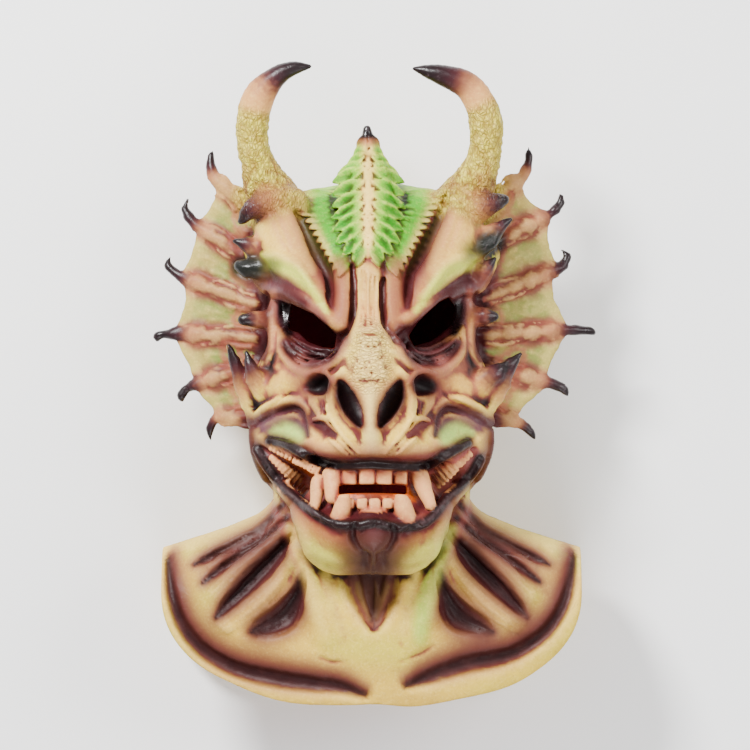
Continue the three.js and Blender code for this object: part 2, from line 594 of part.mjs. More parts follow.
// An ear fan: a thin scalloped web held by six ribs that end in spikes.
function fan(clay, ribs) {
  const side = Math.sign(ribs[0].root[0]);
  const height = (x) => FAN.z - FAN.sweep * (Math.abs(x) - FAN.from);
  const web = new THREE.Shape();
  web.moveTo(...ribs[0].foot);
  ribs.slice(1).forEach(({ foot: next }, i) => {
    const { foot, dip } = ribs[i];
    web.quadraticCurveTo(
      2 * dip[0] - (foot[0] + next[0]) / 2,
      2 * dip[1] - (foot[1] + next[1]) / 2,
      ...next,
    );
  });
  web.lineTo(side * 88, -38);
  web.lineTo(side * 70, 60);
  web.lineTo(side * 80, 165);
  const outline = web.getPoints(8);
  const xs = outline.map((p) => p.x);
  const ys = outline.map((p) => p.y);
  const low = [Math.min(...xs) - 8, Math.min(...ys) - 8, 70];
  const high = [Math.max(...xs) + 8, Math.max(...ys) + 8, 150];
  clay.blend(low, high, 4, (x, y) => {
    const edge = outlineDistance(outline, x, y);
    const middle = height(x);
    return (z) => Math.max(edge, Math.abs(z - middle) - FAN.thick / 2);
  });
  for (const { root, foot, tip } of ribs) {
    const run = [foot[0] - root[0], foot[1] - root[1]];
    const bend = [0, 1].map((a) => foot[a] + 0.45 * (tip[a] - foot[a]) + 0.12 * run[a]);
    const between = (t) => [root[0] + t * run[0], root[1] + t * run[1]];
    const rows = [
      [...root, 0, 7],
      [...between(0.35), 0, 6.8],
      [...between(0.68), 0, 7.6],
      [...foot, 0, 4.6],
      [...bend, 0, 3.4],
      [...tip, 0, 2.2],
    ];
    clay.rope(along(rows).map(([x, y, , r]) => [x, y, height(x) + 1, r]), 3);
  }
}

function openings(clay) {
  for (const rim of EYES) {
    const outline = rim.map(([x, y]) => new THREE.Vector2(x, y));
    const xs = rim.map((p) => p[0]);
    const ys = rim.map((p) => p[1]);
    const low = [Math.min(...xs) - 8, Math.min(...ys) - 8, EYE_DEPTH - 20];
    const high = [Math.max(...xs) + 8, Math.max(...ys) + 8, 260];
    const column = (x, y) => {
      const edge = outlineDistance(outline, x, y);
      return (z) => Math.max(edge, EYE_DEPTH - z);
    };
    clay.blend(low, high, 3, column, true);
  }
  const { low, high } = MOUTH_SLOT;
  const middle = low.map((v, a) => (v + high[a]) / 2);
  const half = low.map((v, a) => (high[a] - v) / 2);
  const margin = 6;
  const slot = (x, y) => (z) =>
    Math.max(
      Math.abs(x - middle[0]) - half[0],
      Math.abs(y - middle[1]) - half[1],
      Math.abs(z - middle[2]) - half[2],
    );
  clay.blend(low.map((v) => v - margin), high.map((v) => v + margin), 2, slot, true);
}

// Hollows the clay out a wall's thickness inside the solid form it had before the thin parts.
function hollow(clay, solid) {
  const [nx, ny, nz] = clay.count;
  let at = 0;
  for (let k = 0; k < nz; k++) {
    const floor = WALL - (clay.low[2] + k * clay.cell);
    for (let n = 0; n < nx * ny; n++, at++) {
      const cavity = Math.max(solid[at] + WALL, floor);
      clay.field[at] = Math.max(clay.field[at], -cavity);
    }
  }
}

// Trims the bib along the hem, a superellipse seen from the front with a slight wave along it.
function trim(clay) {
  const { half, below, middle, power, notch, wave } = HEM;
  const { low, high } = BOX;
  const outside = (x, y) => {
    if (y > -120) return FAR;
    const ends = THREE.MathUtils.smoothstep(Math.abs(x), 120, 170);
    const bend = notch * Math.exp(-(((x - 8) / 24) ** 2)) - wave * Math.sin(x / 17) * (1 - ends);
    const down = Math.max(middle - y + bend, 0) / below;
    const size = (Math.abs(x) / half) ** power + down ** power;
    return (1 - size ** (1 / power)) * below;
  };
  clay.blend(low, [high[0] + CELL, -60, high[2] + CELL], 0, (x, y) => {
    const d = outside(x, y);
    return () => d;
  }, true);
}

// The surface of the clay as shared vertices and triangles, worked out by marching cubes.
function surfaceOf(clay) {
  const [nx, ny, nz] = clay.count;
  const size = Math.max(nx, ny, nz) + 6;
  const cubes = new MarchingCubes(size, new THREE.MeshBasicMaterial(), false, false, MOST_TRIANGLES);
  cubes.isolation = 0;
  cubes.field.fill(-FAR);
  const border = 2;
  const least = 0.03 * clay.cell; // keeps every vertex off the grid's corners
  for (let k = 0; k < nz; k++) {
    for (let j = 0; j < ny; j++) {
      for (let i = 0; i < nx; i++) {
        const d = clay.field[(k * ny + j) * nx + i];
        const kept = Math.abs(d) < least ? (d < 0 ? -least : least) : d;
        const to = ((k + border) * size + j + border) * size + i + border;
        cubes.field[to] = -THREE.MathUtils.clamp(kept, -2 * clay.cell, 2 * clay.cell);
      }
    }
  }
  cubes.update();
  // Each vertex lies on one edge of the grid, whose number tells which vertices are the same.
  const places = [];
  const names = new Map();
  const corner = [];
  for (let n = 0; n < cubes.count; n++) {
    const g = [0, 1, 2].map((a) => ((cubes.positionArray[3 * n + a] + 1) * size) / 2);
    const off = g.map((v) => Math.abs(v - Math.round(v)));
    const axis = off.indexOf(Math.max(...off));
    const whole = g.map((v, a) => (a === axis ? Math.floor(v) : Math.round(v)));
    const name = axis + 3 * (whole[0] + size * (whole[1] + size * whole[2]));
    if (!names.has(name)) {
      names.set(name, places.length);
      places.push(g.map((v, a) => clay.low[a] + (v - border) * clay.cell));
    }
    corner.push(names.get(name));
  }
  const triangles = [];
  for (let n = 0; n < corner.length; n += 3) triangles.push(corner.slice(n, n + 3));
  return { places, triangles };
}

// Keeps only the triangles that hang together with the first one found on the largest piece.
function largestPiece({ places, triangles }) {
  const parent = places.map((_, i) => i);
  const find = (i) => {
    while (parent[i] !== i) i = parent[i] = parent[parent[i]];
    return i;
  };
  for (const [a, b, c] of triangles) {
    parent[find(a)] = find(b);
    parent[find(b)] = find(c);
  }
  const tally = new Map();
  for (const [a] of triangles) tally.set(find(a), (tally.get(find(a)) ?? 0) + 1);
  const most = [...tally].sort((p, q) => q[1] - p[1])[0][0];
  return { places, triangles: triangles.filter(([a]) => find(a) === most) };
}

// Folds edges together, the one that changes the shape least first, until few triangles are left.
// Each vertex carries the sum of squared distances to the planes of the triangles it stands for.
function fold({ places, triangles }, target, weightAt) {
  const pull = 1e-3; // a slight pull to where it was keeps flat stretches even
  const leastTurn = 0.25; // cosine of the widest angle that a fold may turn a triangle by
  const leastWidth = 0.04; // of a triangle, against its length
  const point = places.map((p) => p.slice());
  const around = places.map(() => new Set());
  const alive = triangles.map(() => true);
  triangles.forEach((t, i) => t.forEach((v) => around[v].add(i)));
  const sub = (p, q) => [p[0] - q[0], p[1] - q[1], p[2] - q[2]];
  const cross = (p, q) => [
    p[1] * q[2] - p[2] * q[1],
    p[2] * q[0] - p[0] * q[2],
    p[0] * q[1] - p[1] * q[0],
  ];
  const dot = (p, q) => p[0] * q[0] + p[1] * q[1] + p[2] * q[2];
  const area = (p, q, r) => cross(sub(q, p), sub(r, p));

  // A quadric holds the ten sums of a symmetric 4 by 4 matrix.
  const quadric = places.map(() => new Float64Array(10));
  for (const [a, b, c] of triangles) {
    const n = area(point[a], point[b], point[c]);
    const size = Math.sqrt(dot(n, n)) + 1e-12;
    const u = n.map((v) => v / size);
    const e = [...u, -dot(u, point[a])];
    const weight = (size / 2) * weightAt(point[a]);
    for (const v of [a, b, c]) {
      let s = 0;
      for (let i = 0; i < 4; i++) for (let j = i; j < 4; j++) quadric[v][s++] += weight * e[i] * e[j];
      quadric[v][0] += pull * weight;
      quadric[v][4] += pull * weight;
      quadric[v][7] += pull * weight;
      for (let i = 0; i < 3; i++) quadric[v][[3, 6, 8][i]] -= pull * weight * point[a][i];
      quadric[v][9] += pull * weight * dot(point[a], point[a]);
    }
  }
  const cost = (q, [x, y, z]) =>
    q[0] * x * x + 2 * q[1] * x * y + 2 * q[2] * x * z + 2 * q[3] * x + q[4] * y * y +
    2 * q[5] * y * z + 2 * q[6] * y + q[7] * z * z + 2 * q[8] * z + q[9];

  function best(a, b) {
    const q = quadric[a].map((v, i) => v + quadric[b][i]);
    const m = new THREE.Matrix3().set(q[0], q[1], q[2], q[1], q[4], q[5], q[2], q[5], q[7]);
    const middle = point[a].map((v, i) => (v + point[b][i]) / 2);
    const choices = [middle, point[a], point[b]];
    if (Math.abs(m.determinant()) > 1e-9) {
      const solved = new THREE.Vector3(-q[3], -q[6], -q[8]).applyMatrix3(m.invert()).toArray();
      const away = sub(solved, middle);
      const edge = sub(point[a], point[b]);
      if (dot(away, away) < 4 * dot(edge, edge)) choices.unshift(solved);
    }
    let at = choices[0];
    for (const p of choices) if (cost(q, p) < cost(q, at)) at = p;
    return { a, b, at, price: Math.max(0, cost(q, at)), stamp: stamp[a] + stamp[b] };
  }

  // A heap with the cheapest fold on top.
  const stamp = new Int32Array(places.length);
  const heap = [];
  function push(item) {
    let i = heap.push(item) - 1;
    while (i > 0 && heap[(i - 1) >> 1].price > heap[i].price) {
      const up = (i - 1) >> 1;
      [heap[i], heap[up]] = [heap[up], heap[i]];
      i = up;
    }
  }
  function pop() {
    const top = heap[0];
    const last = heap.pop();
    if (!heap.length) return top;
    heap[0] = last;
    for (let i = 0; ; ) {
      let small = 2 * i + 1;
      if (small >= heap.length) break;
      if (small + 1 < heap.length && heap[small + 1].price < heap[small].price) small++;
      if (heap[small].price >= heap[i].price) break;
      [heap[i], heap[small]] = [heap[small], heap[i]];
      i = small;
    }
    return top;
  }

  const neighbours = (v) => {
    const out = new Set();
    for (const t of around[v]) for (const w of triangles[t]) if (w !== v) out.add(w);
    return out;
  };
  // A fold may not turn a triangle over or leave a sliver.
  const turns = (v, other, at) => {
    for (const t of around[v]) {
      if (triangles[t].includes(other)) continue;
      const old = triangles[t].map((w) => point[w]);
      const now = triangles[t].map((w) => (w === v ? at : point[w]));
      const before = area(...old);
      const after = area(...now);
      const longest = Math.max(...[0, 1, 2].map((i) => {
        const e = sub(now[i], now[(i + 1) % 3]);
        return dot(e, e);
      }));
      const size = Math.sqrt(dot(after, after));
      if (dot(before, after) < leastTurn * size * Math.sqrt(dot(before, before))) return true;
      if (size < leastWidth * longest) return true;
    }
    return false;
  };

  for (let v = 0; v < places.length; v++) for (const w of neighbours(v)) if (v < w) push(best(v, w));
  let left = triangles.length;
  while (left > target && heap.length) {
    const { a, b, at, stamp: when } = pop();
    if (!around[a].size || !around[b].size || when !== stamp[a] + stamp[b]) continue;
    const near = neighbours(a);
    if (!near.has(b)) continue;
    const shared = [...neighbours(b)].filter((v) => near.has(v));
    if (shared.length !== 2 || turns(a, b, at) || turns(b, a, at)) continue;
    for (const t of [...around[b]]) {
      if (triangles[t].includes(a)) {
        alive[t] = false;
        left--;
        for (const v of triangles[t]) around[v].delete(t);
      } else {
        triangles[t] = triangles[t].map((v) => (v === b ? a : v));
        around[a].add(t);
      }
    }
    around[b].clear();
    point[a] = at;
    for (let i = 0; i < 10; i++) quadric[a][i] += quadric[b][i];
    stamp[a]++;
    for (const v of neighbours(a)) push(best(a, v));
  }
  return { places: point, triangles: triangles.filter((_, i) => alive[i]) };
}

function geometryOf({ places, triangles }) {
  const kept = new Map();
  const index = triangles.flat().map((v) => {
    if (!kept.has(v)) kept.set(v, kept.size);
    return kept.get(v);
  });
  const positions = new Float32Array(3 * kept.size);
  for (const [v, i] of kept) positions.set(places[v], 3 * i);
  return new THREE.BufferGeometry()
    .setAttribute("position", new THREE.BufferAttribute(positions, 3))
    .setIndex(index);
}

const wasm = await Module();
wasm.setup();

function solidOf(geometry) {
  return new wasm.Manifold(
    new wasm.Mesh({
      numProp: 3,
      vertProperties: geometry.attributes.position.array,
      triVerts: new Uint32Array(geometry.index.array),
    }),
  );
}

// What lies under the surface that the mask rests on is cut off flat.
function cutAtFloor(geometry) {
  const depth = 40;
  const slab = new THREE.BoxGeometry(600, 800, depth).translate(0, 0, -depth / 2);
  slab.deleteAttribute("normal");
  slab.deleteAttribute("uv");
  const corners = mergeVertices(slab);
  const mesh = solidOf(geometry).subtract(solidOf(corners)).getMesh();
  const positions = new Float32Array(mesh.numVert * 3);
  for (let i = 0; i < mesh.numVert; i++) {
    const from = i * mesh.numProp;
    positions.set(mesh.vertProperties.subarray(from, from + 3), 3 * i);
  }
  return new THREE.BufferGeometry()
    .setAttribute("position", new THREE.BufferAttribute(positions, 3))
    .setIndex([...mesh.triVerts]);
}

function sculpt() {
  const clay = new Clay(BOX.low, BOX.high, CELL);
  bib(clay);
  head(clay);
  brows(clay);
  eyeSockets(clay);
  nose(clay);
  cheeks(clay);
  temples(clay);
  mouth(clay);
  chin(clay);
  const solid = clay.field.slice();
  for (const rows of HORNS) clay.rope(along(rows, 6), 8);
  crest(clay);
  scales(clay);
  spikes(clay);
  for (const ribs of FANS) fan(clay, ribs);
  openings(clay);
  hollow(clay, solid);
  trim(clay);
  return { clay, solid };
}

function maskGeometry() {
  const { clay, solid } = sculpt();
  const inside = { count: clay.count, low: clay.low, cell: clay.cell, field: solid };
  // The inner face needs far fewer triangles.
  const weightAt = ([x, y, z]) =>
    Math.abs(Clay.prototype.sample.call(inside, x, y, z) + WALL) < 1 ? INNER_SHARE : 1;
  const folded = fold(largestPiece(surfaceOf(clay)), FACES, weightAt);
  return cutAtFloor(geometryOf(folded)).translate(...SHIFT, 0);
}

const latex = new THREE.MeshStandardMaterial({ color: 0xd8c894, roughness: 0.45, metalness: 0 });
const mask = new THREE.Mesh(maskGeometry(), latex);
mask.name = "mask";
mask.geometry.computeVertexNormals();

const dragonMask = new THREE.Group();
dragonMask.add(mask);

export default dragonMask;
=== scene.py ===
"""A dragon mask cast in one piece of foam latex, lying on its back: its fine relief and its paint.

The form is modelled as clay is, on a grid of signed distances (negative inside): masses first, then
ridges and grooves drawn on the skin, then the thin parts, and last the inside is hollowed out.
Lengths are millimetres, X across the face, Y from the hem to the horns and Z out of the face,
until the finished mesh is moved into the frame, in metres.
"""
import math

import bpy
import numpy as np
import openvdb
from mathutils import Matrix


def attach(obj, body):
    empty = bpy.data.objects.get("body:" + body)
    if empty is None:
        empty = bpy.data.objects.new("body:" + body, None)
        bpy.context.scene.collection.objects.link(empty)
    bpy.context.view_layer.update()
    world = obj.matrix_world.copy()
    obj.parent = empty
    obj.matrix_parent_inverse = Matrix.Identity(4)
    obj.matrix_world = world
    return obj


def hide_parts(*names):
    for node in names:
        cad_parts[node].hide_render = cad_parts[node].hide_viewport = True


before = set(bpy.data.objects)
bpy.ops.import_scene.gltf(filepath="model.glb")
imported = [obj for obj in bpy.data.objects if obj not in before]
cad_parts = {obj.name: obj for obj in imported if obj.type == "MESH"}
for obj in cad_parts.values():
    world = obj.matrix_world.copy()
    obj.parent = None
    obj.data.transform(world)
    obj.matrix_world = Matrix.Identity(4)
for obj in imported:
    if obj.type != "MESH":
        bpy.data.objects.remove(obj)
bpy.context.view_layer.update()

# Driving sizes, as in the solid.
MM = 0.001
WALL = 6.0
SHIFT = (-3.6, -0.5)  # moves the middle of the mask over the frame's origin
# Masses: middle and half sizes.
SKULL = ((0, 75, 101), (97, 111, 104))
FACE = ((0, 5, 138), (96, 88, 84))
SNOUT = ((0, -2, 202), (44, 62, 58))
CHEEK = ((62, -42, 140), (47, 46, 60))
LIP_MASS = ((0, -52, 190), (76, 32, 50))
CHIN = ((0, -118, 178), (70, 48, 58))
CHEST = ((0, -238, 82), (200, 108, 84))

NECK_RADIUS = 84
HEM_HALF, HEM_BELOW, HEM_MIDDLE, HEM_POWER = 190, 106, -182, 2.3
FAN_THICK, FAN_Z, FAN_SWEEP, FAN_FROM = 4.4, 118, 0.3, 100
EYE_DEPTH = 130
FACE_MIDDLE = -3
BOX_LOW = (-216, -300, -8)
BOX_HIGH = (216, 300, 284)

CELL = 1.5  # grid on which the form is worked out
TRIANGLES = 194000
FAR = 60.0  # what the empty grid holds
STEP = 4.0  # spacing of the points of a stroke
STEEPEST = 1.5  # slope up to which strokes follow the skin
BROAD, CLOSE, FINE = 10.0, 4.5, 2.5  # widths at which the paint looks for hollows
SIDES = (-1, 1)
PIXEL, PICTURE = 0.9, 750  # millimetres a pixel, and the picture's width in pixels
NOISE_TABLE, CENTRE_TABLE = 32, 16

# The slot between the upper and the lower teeth goes through the wall.
SLOT_X, SLOT_Y, SLOT_HALF, SLOT_TALL, SLOT_DEPTH = 1, -89.8, 30, 3.9, 150

# Paint, as sRGB colours.
CREAM = (0.90, 0.71, 0.25)
TAN = (0.68, 0.50, 0.19)
PALE_GREEN = (0.62, 0.69, 0.15)
LEAF = (0.13, 0.52, 0.02)
ROSE = (0.52, 0.24, 0.19)
MAROON = (0.23, 0.065, 0.08)
DARK = (0.045, 0.014, 0.02)
MAUVE = (0.38, 0.24, 0.27)
TOOTH = (0.72, 0.44, 0.28)
GUM = (0.62, 0.30, 0.27)
ORANGE = (0.84, 0.35, 0.02)
INSIDE = (0.32, 0.03, 0.07)

HORNS = [
    [
        (-93, 178, 140, 22), (-102, 200, 148, 16), (-107, 220, 154, 14.8), (-107, 239, 158, 15),
        (-102, 259, 162, 14.6), (-93, 272, 164, 11.7), (-81, 282, 166, 8.6), (-68, 287, 168, 5.9),
        (-56, 288, 170, 2),
    ],
    [
        (90, 178, 140, 22), (99, 200, 148, 16), (103, 221, 154, 14.9), (103, 236, 158, 15.6),
        (99, 252, 161, 14.4), (87, 270, 164, 12.6), (71, 278, 166, 10.6), (54, 283, 168, 7.3),
        (38, 286, 170, 2),
    ],
]

# The ribs of each ear fan, top to bottom: root, foot of the spike, tip of the spike,
# and the lowest point of the web's edge on the way to the next spike.
FANS = [
    [
        ((-116, 165), (-143, 191), (-144, 215), (-143, 169)),
        ((-106, 113), (-161, 149), (-167, 170), (-161, 128)),
        ((-105, 75), (-174, 101), (-183, 118), (-169, 79)),
        ((-105, 45), (-180, 49), (-195, 43), (-163, 12)),
        ((-103, 20), (-162, 2), (-172, -12), (-143, -21)),
        ((-100, -26), (-140, -28), (-146, -48), None),
    ],
    [
        ((110, 172), (137, 191), (143, 218), (140, 172)),
        ((106, 128), (163, 158), (171, 175), (160, 134)),
        ((98, 79), (170, 108), (171, 126), (165, 88)),
        ((98, 47), (179, 52), (203, 49), (161, 17)),
        ((105, 18), (163, 4), (178, -7), (137, -19)),
        ((100, -22), (134, -32), (148, -47), None),
    ],
]

# Spikes on the brows, temples and cheeks: place and radius from foot to tip.
SPIKES = [
    [
        (-70, 166, 150, 14), (-84, 169, 158, 13), (-99, 164, 163, 11), (-110, 158, 164, 8),
        (-117, 150, 162, 3.5),
    ],
    [(-86, 130, 148, 14), (-101, 125, 158, 10.5), (-113, 128, 162, 6.5), (-123, 132, 163, 1.8)],
    [(-78, 108, 156, 17), (-97, 107, 162, 12), (-110, 107, 164, 9), (-117, 109, 163, 6)],
    [(-92, 61, 146, 9), (-104, 61, 152, 7.5), (-115, 61, 155, 5)],
    [(84, 156, 150, 15), (98, 162, 160, 12.5), (109, 166, 163, 9), (118, 168, 162, 5.5)],
    [(90, 130, 148, 14), (101, 134, 158, 10.5), (113, 142, 161, 7), (125, 151, 162, 1.8)],
    [(80, 126, 154, 16), (96, 128, 160, 11), (108, 130, 162, 6)],
    [(88, 98, 146, 12), (99, 103, 157, 8.5), (111, 116, 159, 1.8)],
    [(91, 63, 144, 10), (102, 64, 153, 8), (110, 64, 155, 4.5)],
    [(-98, -30, 142, 12), (-112, -4, 150, 9.5), (-121, 18, 156, 6.5), (-128, 37, 160, 1.8)],
    [(-86, -14, 156, 14), (-101, 4, 164, 10), (-108, 17, 168, 6.5), (-112, 31, 169, 1.8)],
    [(92, -26, 146, 13), (110, -2, 154, 12), (121, 16, 160, 8), (134, 30, 161, 1.8)],
    [(84, -12, 156, 15), (101, 6, 166, 11), (112, 14, 168, 7.5), (120, 21, 168, 3)],
]

# The rims of the two eye holes.
EYES = [
    [
        (-72, 75), (-52, 66), (-39, 55), (-31, 47), (-33, 35), (-44, 36), (-57, 41), (-65, 49),
        (-74, 52), (-73, 63),
    ],
    [
        (69, 81), (75, 73), (74, 62), (72, 57), (60, 46), (52, 41), (38, 37), (33, 46), (41, 58),
        (51, 68), (61, 77),
    ],
]

# The lips as x and y, and the gap between them with its half-width and depth.
UPPER_LIP = [
    (-91, -47), (-77, -50), (-63, -57.5), (-47, -65.5), (-26, -69), (-6, -68), (18, -69), (33, -70),
    (50, -69), (64, -61), (75, -55), (86, -49),
]
LOWER_LIP = [
    (-102, -55), (-92, -72), (-80, -88), (-65, -101), (-47, -114), (-35, -120), (-16, -122),
    (4, -120), (23, -124), (43, -122), (55, -114), (66, -101), (80, -88), (91, -75), (97, -64),
]
GAP = [
    (-97, -57, 3.8, 5), (-84, -67, 9.5, 8), (-66, -80, 16, 10), (-45, -93, 20.5, 11),
    (-20, -98, 22.5, 12), (0, -98, 23.5, 12), (20, -98, 22.5, 12), (45, -95, 20, 11),
    (66, -83, 15, 10), (82, -69, 9.5, 8), (92, -57, 3.8, 5),
]

PEBBLE = 4.9  # size of the horns' granules
NET_ROWS = 8
SCALE_THICK = 8
SCALE_DROP = 0.6  # slope that a scale bridges when the skin falls away under it
OUTER_SCALES = 13
CREST_SCALES = 4
INNER_SCALES = 8
SPINE_BEADS = 17

# Strokes on the bib, as x, y, half-width and height.
HOLLOWS = [
    [(80, -106, 3, 4), (100, -128, 5, 8), (122, -141, 6, 9), (147, -153, 5, 6), (160, -160, 2, 1)],
    [(76, -117, 3, 3), (97, -136, 4, 6), (121, -152, 5, 7), (146, -171, 4, 3), (152, -176, 2, 1)],
    [(74, -134, 5, 5), (90, -153, 10, 11), (113, -177, 11, 11), (132, -198, 7, 6), (140, -207, 3, 1)],
    [(62, -166, 3, 3), (67, -186, 8, 10), (78, -205, 14, 13), (97, -216, 11, 6), (108, -220, 4, 1)],
]
SHOULDER_RIBS = [
    [(82, -112, 3, 2), (99, -131, 3, 3), (122, -146, 3, 3), (147, -162, 2, 1)],
    [(74, -124, 4, 3), (94, -145, 6, 4), (118, -165, 7, 4), (142, -188, 6, 2)],
    [(68, -150, 4, 3), (84, -174, 6, 4), (108, -198, 8, 4), (134, -217, 6, 1)],
]
SINEW = [(84, -90, 8, 5), (72, -128, 10, 9), (60, -164, 11, 10), (49, -198, 12, 8), (42, -220, 9, 3)]
RIM_GROOVES = [
    [
        (-185, -156, 4, 3), (-180, -187, 7, 7), (-170, -214, 8, 9), (-153, -235, 9, 10),
        (-126, -251, 10, 10), (-91, -260, 11, 9), (-57, -265, 10, 8), (-29, -268, 8, 6), (-6, -276, 4, 2),
    ],
    [
        (184, -152, 4, 3), (178, -180, 7, 7), (168, -205, 8, 9), (150, -225, 9, 10), (123, -240, 10, 10),
        (88, -247, 11, 9), (54, -258, 9, 7), (31, -268, 4, 2),
    ],
]


def smoothstep(low, high, value):
    t = np.clip((value - low) / (high - low), 0.0, 1.0)
    return t * t * (3.0 - 2.0 * t)


def linear(colour):
    """An sRGB colour as linear light."""
    c = np.array(colour, float)
    return np.where(c <= 0.04045, c / 12.92, ((c + 0.055) / 1.055) ** 2.4)


def along(rows, step=5.0):
    """Rows spaced about a step apart on the smooth curve through the given rows."""
    p = np.array(rows, float)
    q = np.vstack([2 * p[0] - p[1], p, 2 * p[-1] - p[-2]])
    out = []
    for a, b, c, d in zip(q, q[1:], q[2:], q[3:]):
        parts = max(1, math.ceil(np.linalg.norm(c[:2] - b[:2]) / step))
        for t in np.arange(parts) / parts:
            bend = (2 * a - 5 * b + 4 * c - d) * t * t + (3 * b - a - 3 * c + d) * t**3
            out.append(0.5 * (2 * b + (c - a) * t + bend))
    out.append(p[-1])
    return np.array(out)


def between(a, b, t):
    """The place at t on the way from a to b."""
    return [p + (q - p) * t for p, q in zip(a, b)]


def flip(rows, middle=0):
    """The same stroke on the other side of a middle line."""
    return [(2 * middle - row[0],) + tuple(row[1:]) for row in rows]


def mirrored(rows, middle=0):
    """The same stroke on both sides; rows give the right side, measured from the middle."""
    right = [(middle + row[0],) + tuple(row[1:]) for row in rows]
    return [right, flip(right, middle)]


def all_mirrored(strokes):
    return [side for rows in strokes for side in mirrored(rows)]


def lattice_noise(points, size, seed):
    """Smooth noise from 0 to 1 with blotches of about the given size."""
    values = np.random.default_rng(seed).random((NOISE_TABLE,) * 3)
    p = points / size
    whole = np.floor(p).astype(int)
    t = p - whole
    t = t * t * (3 - 2 * t)
    total = np.zeros(len(points))
    for n in range(8):
        o = np.array([n & 1, n >> 1 & 1, n >> 2])
        weight = np.prod(np.where(o, t, 1 - t), axis=1)
        at = (whole + o) % NOISE_TABLE
        total += weight * values[at[:, 0], at[:, 1], at[:, 2]]
    return total


def read_grid(grid, places):
    """Values of a grid at places counted in cells from its corner, mixed from the eight nearest."""
    whole = [np.clip(np.floor(places[:, a]).astype(int), 0, grid.shape[a] - 2) for a in range(3)]
    part = [np.clip(places[:, a] - whole[a], 0, 1) for a in range(3)]
    total = 0
    for n in range(8):
        o = (n & 1, n >> 1 & 1, n >> 2)
        weight = 1
        for a in range(3):
            weight = weight * (part[a] if o[a] else 1 - part[a])
        total = total + weight * grid[whole[0] + o[0], whole[1] + o[1], whole[2] + o[2]]
    return total


def cells(points, size, seed):
    """Distance to the nearest of scattered centres about a size apart, in sizes."""
    shifts = np.random.default_rng(seed).random((*(CENTRE_TABLE,) * 3, 3))
    p = points / size
    whole = np.floor(p).astype(int)
    nearest = np.full(len(points), 9.0)
    for n in range(27):
        o = whole + np.array([n % 3 - 1, n // 3 % 3 - 1, n // 9 - 1])
        i, j, k = o.T % CENTRE_TABLE
        centre = o + shifts[i, j, k]
        nearest = np.minimum(nearest, np.linalg.norm(p - centre, axis=1))
    return nearest


def outline_distance(outline, x, y):
    """Signed distance in the plane to a closed outline, negative inside."""
    corners = np.array(outline, float)
    nearest = np.full(np.broadcast(x, y).shape, np.inf)
    sign = np.ones(nearest.shape)
    for a, b in zip(corners, np.roll(corners, -1, axis=0)):
        ex, ey = b - a
        wx, wy = x - a[0], y - a[1]
        t = np.clip((wx * ex + wy * ey) / (ex * ex + ey * ey + 1e-9), 0, 1)
        nearest = np.minimum(nearest, (wx - ex * t) ** 2 + (wy - ey * t) ** 2)
        above, under, left = y >= a[1], y < b[1], ex * wy > ey * wx
        cross = (above & under & left) | (~above & ~under & ~left)
        sign = np.where(cross, -sign, sign)
    return sign * np.sqrt(nearest)


def leaf_width(t, half):
    """Half-width of a pointed scale at t along it, from root to tip."""
    return half * np.maximum(np.sin(math.pi * t**0.95), 0) ** 0.8 + 0.3


